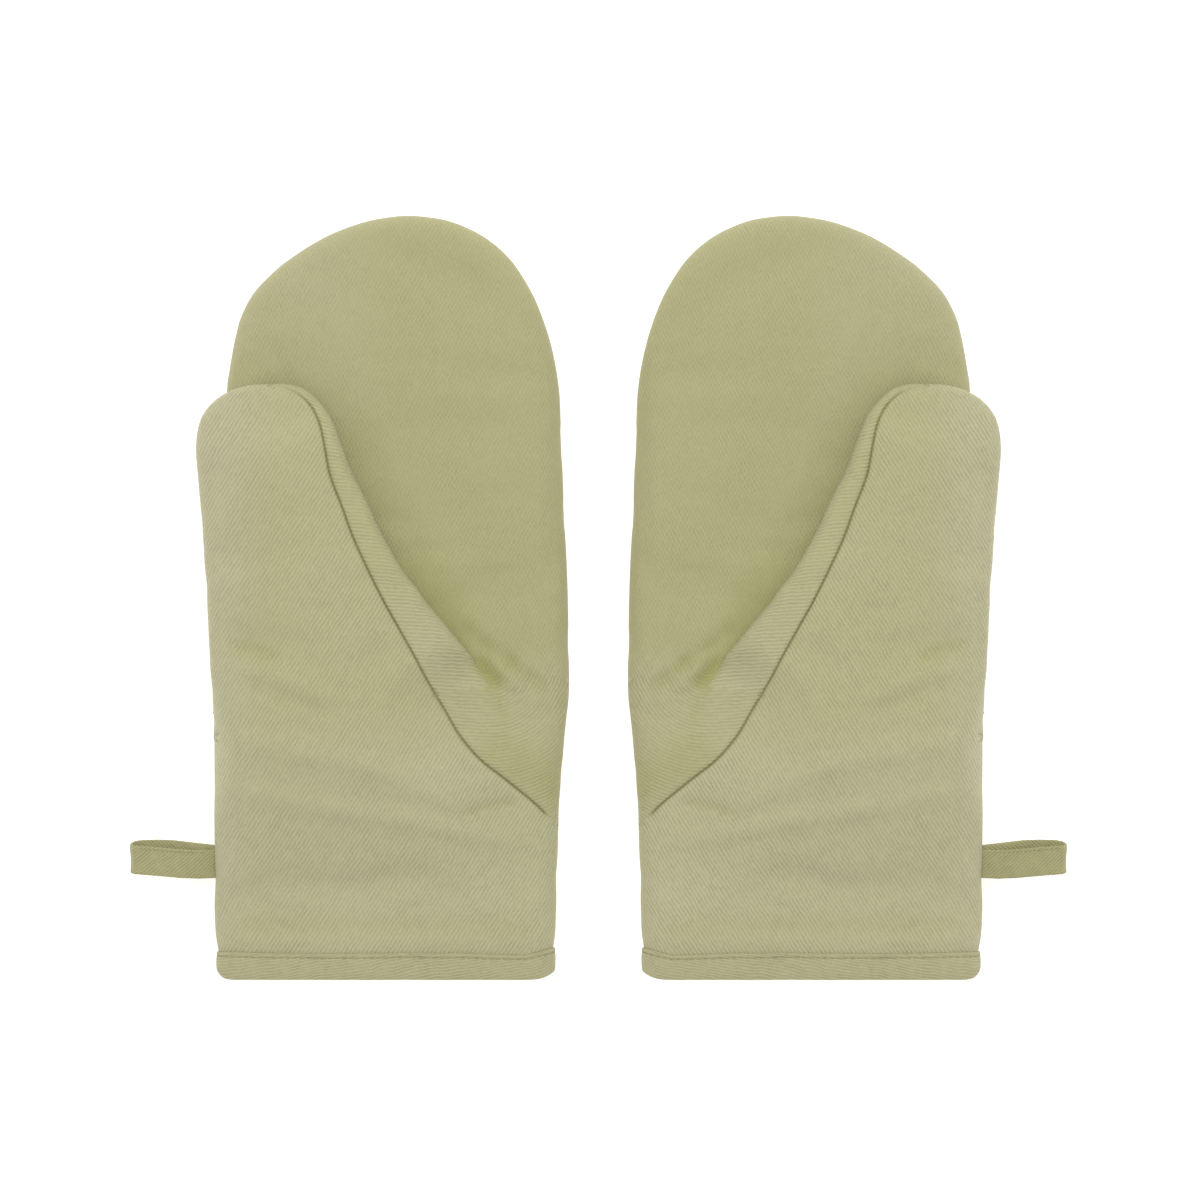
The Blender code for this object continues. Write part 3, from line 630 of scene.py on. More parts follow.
    def panel_points(self, panel, turned_shares, sewn_insets):
        """The points of a panel in the plan: its outline first, then rows, then a field."""
        loop, names = self.loop(panel)
        kept = [loop]
        tree = Grid(self.step)
        tree.add(loop)
        closed = np.vstack((loop, loop[:1]))
        for inset, row in self.rows(panel, turned_shares, sewn_insets):
            row = row[inside(row, loop)]
            if len(row) == 0:
                continue
            row = row[nearest(row, closed)[0] > 0.85 * inset]
            row = tree.free(row, min(0.42 * self.step, max(0.5 * inset, 0.25 * MM)))
            tree.add(row)
            kept.append(row)
        low = loop.min(axis=0)
        high = loop.max(axis=0)
        line_gap = self.step * math.sqrt(3) / 2
        fields = []
        for number, height in enumerate(np.arange(low[1], high[1], line_gap)):
            shift = self.step / 2 if number % 2 else 0.0
            across = np.arange(low[0] + shift, high[0], self.step)
            fields.append(np.column_stack((across, np.full(len(across), height))))
        field = np.vstack(fields)
        field = field[inside(field, loop)]
        field = field[nearest(field, closed)[0] > 0.6 * self.step]
        field = tree.free(field, 0.72 * self.step)
        kept.append(field)
        return np.vstack(kept), names


class Grid:
    """Keeps points apart by sorting them into square cells."""

    def __init__(self, step):
        self.step = step
        self.cells = {}

    def add(self, points):
        for point in points:
            key = (int(point[0] // self.step), int(point[1] // self.step))
            self.cells.setdefault(key, []).append((point[0], point[1]))

    def crowded(self, point, square):
        """Whether a point held lies nearer than the root of a square."""
        column = int(point[0] // self.step)
        row = int(point[1] // self.step)
        for step_x in (-1, 0, 1):
            for step_y in (-1, 0, 1):
                for other in self.cells.get((column + step_x, row + step_y), ()):
                    across = other[0] - point[0]
                    up = other[1] - point[1]
                    if across * across + up * up < square:
                        return True
        return False

    def free(self, points, gap):
        """The points that lie at least a gap away from those already held."""
        kept = [point for point in points if not self.crowded(point, gap * gap)]
        return np.array(kept).reshape(-1, 2)


class Skin:
    """The six panels of one glove, joined into one surface."""

    def __init__(self, pattern, turned_shares, sewn_insets):
        self.pattern = pattern
        self.plan = []
        self.height = []
        self.faces = {}
        self.named = {}
        self.panel_vertices = {}
        for panel in ("front", "strip", "web", "palm", "under", "back"):
            self.add_panel(panel, turned_shares, sewn_insets)
        self.plan = np.array(self.plan)
        self.height = np.array(self.height)

    def add_panel(self, panel, turned_shares, sewn_insets):
        """Fills a panel's outline with triangles and sews it to those before it."""
        points, names = self.pattern.panel_points(panel, turned_shares, sewn_insets)
        count = len(names)
        rim = [(index, (index + 1) % count) for index in range(count)]
        made = geometry.delaunay_2d_cdt(
            [Vector(point) for point in points], rim, [], 1, 1e-7, True)
        coords, faces, sources = made[0], made[2], made[3]
        levels = self.pattern.heights(panel, np.array([tuple(point) for point in coords]))
        numbers = []
        for index, point in enumerate(coords):
            source = sources[index]
            name = names[source[0]] if source and source[0] < count else None
            if name is not None and name in self.named:
                numbers.append(self.named[name])
                continue
            numbers.append(len(self.plan))
            self.plan.append(tuple(point))
            self.height.append(float(levels[index]))
            if name is not None:
                self.named[name] = numbers[-1]
        flip = panel in ("under", "back")
        middles = np.array([sum((coords[index] for index in face), Vector((0, 0))) / 3
                            for face in faces])
        within = inside(middles, points[:count])
        corners = np.array([[tuple(coords[index]) for index in face] for face in faces])
        first = corners[:, 1] - corners[:, 0]
        second = corners[:, 2] - corners[:, 0]
        within &= np.abs(first[:, 0] * second[:, 1] - first[:, 1] * second[:, 0]) > 1e-9
        triangles = []
        for face, keep in zip(faces, within):
            if not keep:
                continue
            corners = [numbers[index] for index in face]
            triangles.append(corners[::-1] if flip else corners)
        self.faces[panel] = triangles
        self.panel_vertices[panel] = sorted({index for face in triangles for index in face})

    def held_by(self, *panels):
        """Which points belong to any of the panels."""
        held = np.zeros(len(self.plan), dtype=bool)
        for panel in panels:
            held[self.panel_vertices[panel]] = True
        return held

    def fold_rows(self):
        """The points of the line where the thumb turns over beside the palm."""
        return sorted(set(self.panel_vertices["strip"]) & set(self.panel_vertices["under"]))

    def points(self):
        """All points as x, height and z."""
        return np.column_stack((self.plan, self.height))


def fold_shape(points, folds):
    """Adds up soft ridges and dents."""
    total = np.zeros(len(points))
    for x1, y1, x2, y2, width, height in folds:
        line = np.array(((x1, y1), (x2, y2))) * MM
        distance = nearest(points, line)[0]
        total += height * MM * bell(distance, width * MM)
    return total


def unevenness(points, scale, seed):
    """Soft noise over the plan, about -1 to 1."""
    values = np.empty(len(points))
    for index, (x, y) in enumerate(points):
        values[index] = noise.noise(Vector((x / scale, y / scale, seed)))
    return values


def settle(sizes):
    """Lets a coarse glove swell in a cloth simulation, and gives how far each point moved."""
    coarse = Skin(Pattern(sizes, SETTLING_STEP), COARSE_SHARES, ())
    start = coarse.points()
    mesh = bpy.data.meshes.new("settling_glove")
    faces = [face for panel in coarse.faces.values() for face in panel]
    mesh.from_pydata([tuple(point) for point in start], [], faces)
    glove = bpy.data.objects.new("settling_glove", mesh)
    bpy.context.scene.collection.objects.link(glove)
    pins = glove.vertex_groups.new(name="pins")
    for index, weight in enumerate(pinned_points(coarse)):
        if weight > 0:
            pins.add([index], float(weight), "REPLACE")
    cloth = glove.modifiers.new("settling", "CLOTH")
    for name, value in SETTLING.items():
        setattr(cloth.settings, name, value)
    cloth.settings.effector_weights.gravity = 0.0
    cloth.collision_settings.use_collision = False
    cloth.collision_settings.use_self_collision = False
    cloth.point_cache.frame_start = 1
    cloth.point_cache.frame_end = SETTLING_FRAMES
    scene = bpy.context.scene
    for number in range(1, SETTLING_FRAMES + 1):
        scene.frame_set(number)
    settled = glove.evaluated_get(bpy.context.evaluated_depsgraph_get())
    ends = np.array([tuple(vertex.co) for vertex in settled.data.vertices])
    scene.frame_set(1)
    bpy.data.objects.remove(glove, do_unlink=True)
    bpy.data.meshes.remove(mesh)
    return coarse, ends - start


def pinned_points(coarse):
    """How firmly each point of the coarse glove is held."""
    plan = coarse.plan
    lines = coarse.pattern.lines
    held = np.zeros(len(plan))
    held[coarse.held_by("back", "under")] = 1.0
    held[plan[:, 1] < 0.014] = 1.0
    seam_gap = nearest(plan, coarse.pattern.seam)[0]
    held[coarse.held_by(*TOP_PANELS) & (seam_gap < 0.003)] = 0.9
    covered = inside(plan, np.vstack((
        lines["crease"], lines["thumb_right"][::-1][1:], lines["thumb_left"][::-1][1:])))
    held[coarse.held_by("palm") & covered] = 1.0
    return held


def spread(moved, coarse, skin, panel, cap):
    """Carries the coarse glove's movement over to a panel of the fine one."""
    source = coarse.panel_vertices[panel]
    tree = kdtree.KDTree(len(source))
    for index in source:
        tree.insert((*coarse.plan[index], 0.0), index)
    tree.balance()
    result = np.zeros((len(skin.panel_vertices[panel]), 3))
    for row, index in enumerate(skin.panel_vertices[panel]):
        total = 0.0
        shift = np.zeros(3)
        for _, other, distance in tree.find_n((*skin.plan[index], 0.0), NEIGHBOURS):
            weight = math.exp(-(distance / NEIGHBOUR_REACH) ** 2) + 1e-6
            total += weight
            shift += weight * moved[other]
        result[row] = shift / total
    size = np.linalg.norm(result, axis=1)[:, None] + 1e-9
    capped = cap * np.tanh(size / cap)
    return result * capped / size


def finish_shape(sizes, skin, coarse, moved):
    """Adds the swelling, the soft folds, the unevenness and the drawn seam to the skin."""
    pattern = skin.pattern
    plan = skin.plan
    points = skin.points()
    shift = np.zeros_like(points)
    for panel in (*TOP_PANELS, "palm"):
        shift[skin.panel_vertices[panel]] = spread(
            moved, coarse, skin, panel, sizes.swelling_cap)
    shift[:, 2] = np.maximum(shift[:, 2], -0.0008)
    points += shift
    tops = skin.held_by(*TOP_PANELS)
    palms = skin.held_by("palm")
    inner = skin.held_by("palm", "web")
    front = skin.held_by("front")
    edge = np.ones(len(plan))
    outline_gap = nearest(plan, pattern.hand_outline)[0]
    edge[palms | tops] = ease(outline_gap[palms | tops] / 0.006)
    side_gap = np.minimum(
        nearest(plan, pattern.lines["thumb_left"])[0],
        nearest(plan, pattern.lines["thumb_right"])[0])
    edge[tops] *= ease(side_gap[tops] / 0.005)
    lift = np.zeros(len(plan))
    lift[inner] += fold_shape(plan[inner], PALM_FOLDS)
    lift[front] += fold_shape(plan[front], FRONT_FOLDS)
    uneven = sum(height * MM * unevenness(plan, scale, seed) for height, scale, seed in UNEVENNESS)
    lift[tops | palms] += uneven[tops | palms]
    points[:, 2] += lift * edge
    points[tops, 2] += drawn_seam(sizes, pattern, plan)[tops]
    press_down(skin, points, edge)
    drawn_in = skin.held_by("palm", "under", *TOP_PANELS)
    points[drawn_in, 2] += fold_shape(plan[drawn_in], POCKET)
    tuck_under(skin, points, tops)
    points[:, 2] = np.maximum(points[:, 2], 0.0)
    lift_cuff(points)
    return points


def drawn_seam(sizes, pattern, plan):
    """The groove and the puckers that the front seam's thread draws into the cloth."""
    distance, _, along, _ = nearest(plan, pattern.seam)
    fade = ramp(along, 0.003, 0.006) * ease((along.max() - along) / 0.020)
    groove = bell(distance, 0.50 * MM) + 0.28 * bell(distance, 2.2 * MM)
    ripple = np.sin(along / 0.0046 * 2 * math.pi + 3 * np.sin(along / 0.017))
    pucker = ripple * bell(distance, 0.0040) * (1 - bell(distance, 0.0011))
    foot_pucker = np.exp(-((along - 0.006) / 0.010) ** 2)
    return -sizes.seam_depth * groove * fade + (0.03 + 0.26 * foot_pucker) * MM * pucker * fade


def press_down(skin, points, edge):
    """Presses the palm down beside the thumb, and the thumb's fold down where it is held."""
    pattern = skin.pattern
    plan = skin.plan
    palms = skin.held_by("palm")
    beside, foot = nearest(plan[palms], pattern.thumb_side)[:2]
    pressed = bell(beside, 0.016) * pattern.freedom(foot)
    points[palms, 2] -= 0.0009 * pressed * edge[palms]
    rows = skin.held_by("strip", "under")
    turned, foot = nearest(plan[rows], pattern.lines["thumb_right"])[:2]
    away = np.linalg.norm(foot - np.array(CROTCH) * MM, axis=1)
    points[rows, 2] -= (0.0002 * (1 - pattern.freedom(foot)) * ease(away / 0.002)
                        * bell(turned, 0.0015))


def tuck_under(skin, points, tops):
    """Keeps the cloth that lies beneath the thumb's root below the cloth that covers it."""
    plan = skin.plan
    away = np.linalg.norm(plan - np.array(CROTCH) * MM, axis=1)
    turned, _, _, shown = nearest(plan, skin.pattern.lines["thumb_right"])
    beneath = skin.held_by("under", "palm") & ~shown
    low = np.flatnonzero(beneath & (away > 0.0001) & (away < 0.026))
    over = np.flatnonzero(tops & (away < 0.034))
    gaps = np.linalg.norm(plan[low][:, None] - plan[over][None], axis=2)
    pick = np.argsort(gaps, axis=1)[:, :3]
    weights = 1.0 / (np.take_along_axis(gaps, pick, axis=1) + 0.00001)
    cover = (points[over[pick], 2] * weights).sum(axis=1) / weights.sum(axis=1)
    cover -= 0.0007 * ease(turned[low] / 0.002)
    points[low, 2] = np.minimum(points[low, 2], cover)


def lift_cuff(points):
    """Draws the cloth's cut edge up into the fold of the binding."""
    bottom = binding_heights(points[:, 0])[0]
    points[:, 1] += (bottom + 0.0009) * np.clip(1 - points[:, 1] / 0.009, 0.0, 1.0)


def palm_painted_shade(pattern, plan):
    """Painted shade on the palm, 0 to 1: the thumb's painted shadow beside it, and the palm toned
    darker towards its right side.
    """
    distance, foot = nearest(plan, pattern.thumb_side)[:2]
    along = np.linalg.norm(foot - np.array(CROTCH) * MM, axis=1)
    width = 0.011 + 0.021 * ease(along / 0.090)
    depth = 1 - 0.48 * ramp(along, 0.035, 0.050) - 0.30 * ramp(along, 0.100, 0.055)
    above = nearest(plan, pattern.lines["web_top"])[0]
    # Painted shadow of the thumb on the palm, weaker towards the thumb's tip and fading out at the
    # web
    beside = depth * ease(above / 0.014) * bell(distance, width)
    # Painted shade: the palm toned darker towards its right side, fading out at the web
    flat = 0.38 * ramp(plan[:, 0], -0.035, 0.050) * ease(above / 0.020)
    return 0.5 * np.maximum(beside, flat)


def shades(skin, panels, used):
    """The painted shade in the cloth's colour, the painted shade of the seam's groove by how near
    the seam's thread a point lies, and how crisp its wales are.
    """
    plan = skin.plan
    pattern = skin.pattern
    painted_shade = np.zeros(len(plan))
    crisp = np.ones(len(plan))
    # Painted shade in the dents of the folds
    for panel, folds in (("front", FRONT_FOLDS), ("web", PALM_FOLDS), ("palm", PALM_FOLDS)):
        if panel in panels:
            rows = skin.panel_vertices[panel]
            dents = [fold for fold in folds if fold[5] < 0]
            painted_shade[rows] = np.clip(-fold_shape(plan[rows], dents) / 0.0060, 0.0, 0.3)
    # Painted shadow of the thumb on the palm, and wales less crisp away from the web
    if "palm" in panels:
        rows = skin.panel_vertices["palm"]
        painted_shade[rows] = np.maximum(painted_shade[rows], palm_painted_shade(pattern, plan[rows]))
        crisp[rows] = 1 - 0.45 * ease(nearest(plan[rows], pattern.lines["web_top"])[0] / 0.010)
    # Painted light from the left: the front is toned darker except along its left edge, more so up
    # the thumb
    if "front" in panels:
        rows = skin.panel_vertices["front"]
        upper = 0.30 + 0.70 * ramp(plan[rows, 1], 0.085, 0.040)
        painted_shade[rows] += 0.25 * ramp(plan[rows, 0], -0.073, 0.026) * upper
    # Painted shade on the thumb's strip, darker towards the tip
    if "strip" in panels:
        rows = skin.panel_vertices["strip"]
        painted_shade[rows] += 0.12 + 0.20 * ramp(plan[rows, 1], 0.130, 0.060)
    # The back panel, which lies on the table, takes a quarter of the painted shade tone all over
    if "back" in panels:
        painted_shade[:] = 0.25
    # Painted shade in the crotch's pocket and the valleys beside it, on the palm's and the thumb's
    # cuts
    if "front" not in panels and "back" not in panels:
        depth = fold_shape(plan, PAINTED_SHADE_SPOTS) / MM
        painted_shade = np.minimum(np.maximum(painted_shade, depth), 1.0)
    # Painted shade in the front seam's groove: a dark line within 0.8 mm of the seam, fading at its
    # ends
    distance, _, along, _ = nearest(plan[used], pattern.seam)
    fade = ramp(along, 0.0055, 0.003) * ease((along.max() - along) / 0.030)
    seam_shade = fade * np.clip(1 - distance / 0.0008, 0.0, 1.0) * ("back" not in panels)
    return (("painted_shade", painted_shade[used]), ("seam_shade", seam_shade), ("crisp", crisp[used]))


def weave_plane(points, angle):
    """Across and along coordinates of wales that run at an angle."""
    turn = math.radians(angle)
    across = points[:, 0] * math.sin(turn) - points[:, 1] * math.cos(turn)
    along = points[:, 0] * math.cos(turn) + points[:, 1] * math.sin(turn)
    return np.column_stack((across, along))


def weave_fan(points, centre, low, high):
    """Across and along coordinates of wales that turn round a centre between two angles."""
    offset = points - np.array(centre) * MM
    turn = (np.degrees(np.arctan2(offset[:, 1], offset[:, 0])) + 90)[:, None]
    radius = np.linalg.norm(offset, axis=1)[:, None]
    arcs = np.hstack((radius, radius * np.radians(turn - high)))
    first = weave_plane(offset, low)
    first[:, 1] -= first[:, 0] * math.radians(high - low)
    return np.where(turn > high, weave_plane(offset, high), np.where(turn > low, arcs, first))


def weave_coordinates(sizes, skin, panel):
    """The weave's coordinates at each point of a panel, unrolled over the rounded edges."""
    pattern = skin.pattern
    plan = skin.plan[skin.panel_vertices[panel]]
    flat = plan.copy()
    if panel in ("front", "web", "palm", "back"):
        distance, foot = nearest(plan, pattern.hand_outline)[:2]
        extra = edge_excess(distance, sizes.hand_edge, pattern.level)
        out = (foot - plan) / np.maximum(distance, 1e-6)[:, None]
        use = distance < sizes.hand_edge
        if panel in ("front", "web"):
            use &= plan[:, 1] < 0.110
        flat[use] += out[use] * extra[use][:, None]
    if panel in ("front", "strip", "under"):
        width = sizes.strip_edge if panel == "strip" else sizes.thumb_edge
        distance, foot = nearest(plan, pattern.thumb_side)[:2]
        extra = edge_excess(distance, width, sizes.thumb_thickness / 2)
        out = (foot - plan) / np.maximum(distance, 1e-6)[:, None]
        use = (distance < width) & (plan[:, 1] >= 0.110)
        flat[use] += out[use] * extra[use][:, None]
    if panel in WALE_ANGLES:
        return weave_plane(flat, WALE_ANGLES[panel])
    if panel == "strip":
        fan = weave_fan(flat, STRIP_FAN, TIP_WALES, CROTCH_WALES)
        middles = weave_plane(np.array((STRIP_FAN, WEB_FAN)) * MM, CROTCH_WALES)[:, 0]
        fan[:, 0] += middles[0] - middles[1]
        return fan
    return weave_fan(flat, WEB_FAN, CROTCH_WALES, PALM_WALES)


def to_world(points, side):
    """Carries points from the glove's own frame to the pair's."""
    sizes = glove_sizes()
    world = np.empty_like(points)
    world[:, 0] = side * (sizes.cuff_centre - points[:, 0])
    world[:, 1] = points[:, 1] - sizes.length / 2
    world[:, 2] = points[:, 2]
    return world


def vertex_normals(points, triangles):
    """Smooth normals of a surface of triangles."""
    corners = np.array(triangles)
    first = points[corners[:, 1]] - points[corners[:, 0]]
    second = points[corners[:, 2]] - points[corners[:, 0]]
    flat = np.cross(first, second)
    normals = np.zeros_like(points)
    for column in range(3):
        np.add.at(normals, corners[:, column], flat)
    size = np.linalg.norm(normals, axis=1)[:, None]
    return normals / np.maximum(size, 1e-12)


def fold_normals(skin, points):
    """The skin's normals, with the thumb's edge shaded as one cloth where it joins the palm."""
    normals = vertex_normals(points, [face for panel in skin.faces.values() for face in panel])
    upper = vertex_normals(points, skin.faces["strip"] + skin.faces["front"] + skin.faces["web"])
    rows = skin.fold_rows()
    free = skin.pattern.freedom(skin.plan[rows])[:, None]
    mixed = normals[rows] * free + upper[rows] * (1 - free)
    normals[rows] = mixed / np.linalg.norm(mixed, axis=1)[:, None]
    return normals


def link_piece(name, mesh, material):
    """Puts a mesh into the scene as a piece with one material."""
    mesh.materials.clear()
    mesh.materials.append(material)
    piece = bpy.data.objects.new(name, mesh)
    bpy.context.scene.collection.objects.link(piece)
    return piece


class Workshop:
    """What the pieces share while they are made."""

    skin = None
    points = None
    inner_skin = None
    inner_points = None
    normals = None
    materials = {}


def glove_sizes():
    return bpy.context.scene.glove_sizes


def trim_sizes():
    return bpy.context.scene.trim_sizes


def cloth_looks():
    return bpy.context.scene.cloth_looks


def workshop():
    """Cuts and settles the glove once."""
    if Workshop.skin is None:
        sizes = glove_sizes()
        coarse, moved = settle(sizes)
        skin = Skin(Pattern(sizes, sizes.cloth_step), FINE_SHARES, SEWN_INSETS)
        Workshop.skin = skin
        Workshop.points = finish_shape(sizes, skin, coarse, moved)
        Workshop.normals = fold_normals(skin, Workshop.points)
        inner = Skin(Pattern(sizes, sizes.inner_step), COARSE_SHARES, ())
        Workshop.inner_skin = inner
        Workshop.inner_points = inner.points()
        drawn = Workshop.points - skin.points()
        shift = np.zeros_like(Workshop.inner_points)
        for panel, rows in inner.panel_vertices.items():
            shift[rows] = spread(drawn, skin, inner, panel, 0.006)
        Workshop.inner_points += shift
        lift_cuff(Workshop.inner_points)
    return Workshop


def new_group(name, inputs, outputs):
    """A shader group with named inputs and outputs."""
    group = bpy.data.node_groups.new(name, "ShaderNodeTree")
    for socket, kind, default in inputs:
        made = group.interface.new_socket(socket, in_out="INPUT", socket_type=kind)
        if default is not None:
            made.default_value = default
    for socket, kind in outputs:
        group.interface.new_socket(socket, in_out="OUTPUT", socket_type=kind)
    start = group.nodes.new("NodeGroupInput")
    end = group.nodes.new("NodeGroupOutput")
    return group, start, end


class Wiring:
    """Short ways of adding nodes to a tree."""

    def __init__(self, tree):
        self.tree = tree

    def node(self, kind, **settings):
        made = self.tree.nodes.new(kind)
        for key, value in settings.items():
            setattr(made, key, value)
        return made

    def join(self, source, target):
        self.tree.links.new(source, target)

    def fill(self, socket, value):
        if isinstance(value, bpy.types.NodeSocket):
            self.join(value, socket)
        else:
            socket.default_value = value

    def math(self, operation, *values, clamp=False):
        made = self.node("ShaderNodeMath", operation=operation, use_clamp=clamp)
        for index, value in enumerate(values):
            self.fill(made.inputs[index], value)
        return made.outputs[0]

    def noise(self, vector, scale, detail=2.0, roughness=0.5):
        made = self.node("ShaderNodeTexNoise")
        self.join(vector, made.inputs["Vector"])
        self.fill(made.inputs["Scale"], scale)
        made.inputs["Detail"].default_value = detail
        made.inputs["Roughness"].default_value = roughness
        return made.outputs["Fac"]

    def range(self, value, low, high, to_low, to_high):
        made = self.node("ShaderNodeMapRange")
        self.join(value, made.inputs["Value"])
        for name, number in (
                ("From Min", low), ("From Max", high), ("To Min", to_low), ("To Max", to_high)):
            self.fill(made.inputs[name], number)
        return made.outputs["Result"]

    def mix(self, factor, first, second, blend="MIX"):
        made = self.node("ShaderNodeMix", data_type="RGBA", blend_type=blend)
        self.fill(made.inputs["Factor"], factor)
        self.fill(made.inputs["A"], first)
        self.fill(made.inputs["B"], second)
        return next(socket for socket in made.outputs if socket.type == "RGBA")


def twill_group():
    """Slanting wales of a twill: their height, and a shade for the thread's colour."""
    name = "Twill weave"
    if name in bpy.data.node_groups:
        return bpy.data.node_groups[name]
    group, start, end = new_group(
        name,
        (("Weave", "NodeSocketVector", None), ("Pitch", "NodeSocketFloat", 0.0016),
         ("Waviness", "NodeSocketFloat", 0.18), ("Fading", "NodeSocketFloat", 0.5),
         ("Crossing", "NodeSocketFloat", 0.8), ("Grain", "NodeSocketFloat", 0.8),
         ("Crispness", "NodeSocketFloat", 1.0)),
        (("Height", "NodeSocketFloat"), ("Shade", "NodeSocketFloat")))
    wiring = Wiring(group)
    weave = start.outputs["Weave"]
    pitch = start.outputs["Pitch"]
    split = wiring.node("ShaderNodeSeparateXYZ")
    wiring.join(weave, split.inputs[0])

    def uneven(scale, detail, amount):
        value = wiring.math("SUBTRACT", wiring.noise(weave, scale, detail, 0.55), 0.5)
        return wiring.math("MULTIPLY", value, amount)

    def wave(turns):
        return wiring.math("SINE", wiring.math("MULTIPLY", turns, 2 * math.pi))

    wander = wiring.math("MULTIPLY", uneven(55.0, 2.0, 6.0), start.outputs["Waviness"])
    wander = wiring.math("ADD", wander, uneven(330.0, 1.0, 0.6))
    turns = wiring.math("ADD", wiring.math("DIVIDE", split.outputs["X"], pitch), wander)
    slant = wiring.math("MULTIPLY", split.outputs["X"], 0.56)
    slant = wiring.math("MULTIPLY_ADD", split.outputs["Y"], 0.83, slant)
    crossing = wiring.math("ADD", wiring.math("DIVIDE", slant, pitch), uneven(260.0, 1.0, 1.6))
    plain = wiring.range(start.outputs["Crispness"], 0.55, 1.0, 1.0, 0.28)
    plain = wiring.math("MULTIPLY", plain, start.outputs["Crossing"])
    threads = wiring.math("MULTIPLY", wave(crossing), plain)
    level = wiring.math("MULTIPLY", wiring.math("ADD", wave(turns), threads), 0.5)
    patches = wiring.range(wiring.noise(weave, 34.0, 2.0), 0.35, 0.65, 0.0, 1.0)
    keep = wiring.math("SUBTRACT", 1.0, wiring.math("MULTIPLY", patches, start.outputs["Fading"]))
    spots = wiring.range(wiring.noise(weave, 230.0, 1.0), 0.35, 0.65, 0.6, 1.3)
    level = wiring.math("MULTIPLY", level, wiring.math("MULTIPLY", keep, spots))
    level = wiring.math("MULTIPLY", level, start.outputs["Crispness"])
    fibres = uneven(1900.0, 3.0, 1.0)
    height = wiring.math("MULTIPLY_ADD", fibres, 0.22, level)
    wiring.join(wiring.math("ADD", height, 0.5), end.inputs["Height"])
    grain = wiring.math("ADD", uneven(620.0, 2.0, 1.0), uneven(190.0, 2.0, 0.4))
    grain = wiring.math("MULTIPLY", grain, start.outputs["Grain"])
    shade = wiring.math("ADD", wiring.math("MULTIPLY_ADD", fibres, 0.3, level), grain)
    wiring.join(wiring.math("ADD", shade, 0.5, clamp=True), end.inputs["Shade"])
    return group


def plain_group():
    """A plain weave of crossing threads."""
    name = "Plain weave"
    if name in bpy.data.node_groups:
        return bpy.data.node_groups[name]
    group, start, end = new_group(
        name,
        (("Weave", "NodeSocketVector", None), ("Pitch", "NodeSocketFloat", 0.0009)),
        (("Height", "NodeSocketFloat"), ("Shade", "NodeSocketFloat")))
    wiring = Wiring(group)
    split = wiring.node("ShaderNodeSeparateXYZ")
    wiring.join(start.outputs["Weave"], split.inputs[0])
    waves = []
    for axis in ("X", "Y"):
        turns = wiring.math("DIVIDE", split.outputs[axis], start.outputs["Pitch"])
        waves.append(wiring.math("SINE", wiring.math("MULTIPLY", turns, 2 * math.pi)))
    cross = wiring.math("MULTIPLY", *waves)
    fibres = wiring.noise(start.outputs["Weave"], 1300.0, 3.0, 0.6)
    height = wiring.math("MULTIPLY_ADD", cross, 0.3, 0.4)
    height = wiring.math("MULTIPLY_ADD", fibres, 0.3, height)
    wiring.join(height, end.inputs["Height"])
    mottle = wiring.noise(start.outputs["Weave"], 120.0, 3.0, 0.55)
    shade = wiring.math("MULTIPLY_ADD", cross, 0.15, 0.25)
    shade = wiring.math("MULTIPLY_ADD", mottle, 0.5, shade)
    wiring.join(shade, end.inputs["Shade"])
    return group


def cloth_material(name, colour, group, settings, contrast, bump, tones=()):
    """A woven cloth: the weave's shade tints the colour and its height makes the relief."""
    if name in Workshop.materials:
        return Workshop.materials[name]
    material = bpy.data.materials.new(name)
    material.use_nodes = True
    wiring = Wiring(material.node_tree)
    shader = material.node_tree.nodes["Principled BSDF"]
    coordinates = wiring.node("ShaderNodeUVMap", uv_map="weave")
    weave = wiring.node("ShaderNodeGroup")
    weave.node_tree = group
    wiring.join(coordinates.outputs["UV"], weave.inputs["Weave"])
    for key, value in settings.items():
        weave.inputs[key].default_value = value
    if tones:
        crisp = wiring.node("ShaderNodeAttribute", attribute_name="crisp")
        wiring.join(crisp.outputs["Fac"], weave.inputs["Crispness"])
    dark = tuple(value * (1 - contrast) for value in colour)
    light = tuple(min(1.0, value * (1 + contrast)) for value in colour)
    tint = wiring.mix(weave.outputs["Shade"], (*dark, 1.0), (*light, 1.0))
    place = wiring.node("ShaderNodeTexCoord")
    clouds = wiring.noise(place.outputs["Object"], 22.0, 3.0, 0.5)
    cool = wiring.range(clouds, 0.3, 0.7, 0.0, 1.0)
    shift = wiring.mix(cool, (0.975, 0.98, 0.96, 1.0), (1.02, 1.015, 1.03, 1.0))
    tint = wiring.mix(1.0, tint, shift, "MULTIPLY")
    # Multiplies each tone in by its mask: the painted shade, and the painted shade of the seam's
    # groove
    for attribute, tone in tones:
        mask = wiring.node("ShaderNodeAttribute", attribute_name=attribute)
        tint = wiring.mix(mask.outputs["Fac"], tint, (*tone, 1.0), "MULTIPLY")
    wiring.join(tint, shader.inputs["Base Color"])
    relief = wiring.node("ShaderNodeBump")
    relief.inputs["Strength"].default_value = 1.0
    relief.inputs["Distance"].default_value = bump
    wiring.join(weave.outputs["Height"], relief.inputs["Height"])
    wiring.join(relief.outputs["Normal"], shader.inputs["Normal"])
    worn = wiring.range(clouds, 0.3, 0.7, 0.90, 0.98)
    wiring.join(worn, shader.inputs["Roughness"])
    shader.inputs["Specular IOR Level"].default_value = 0.25
    shader.inputs["Sheen Weight"].default_value = 0.12
    shader.inputs["Sheen Roughness"].default_value = 0.6
    material.diffuse_color = (*colour, 1.0)
    Workshop.materials[name] = material
    return material


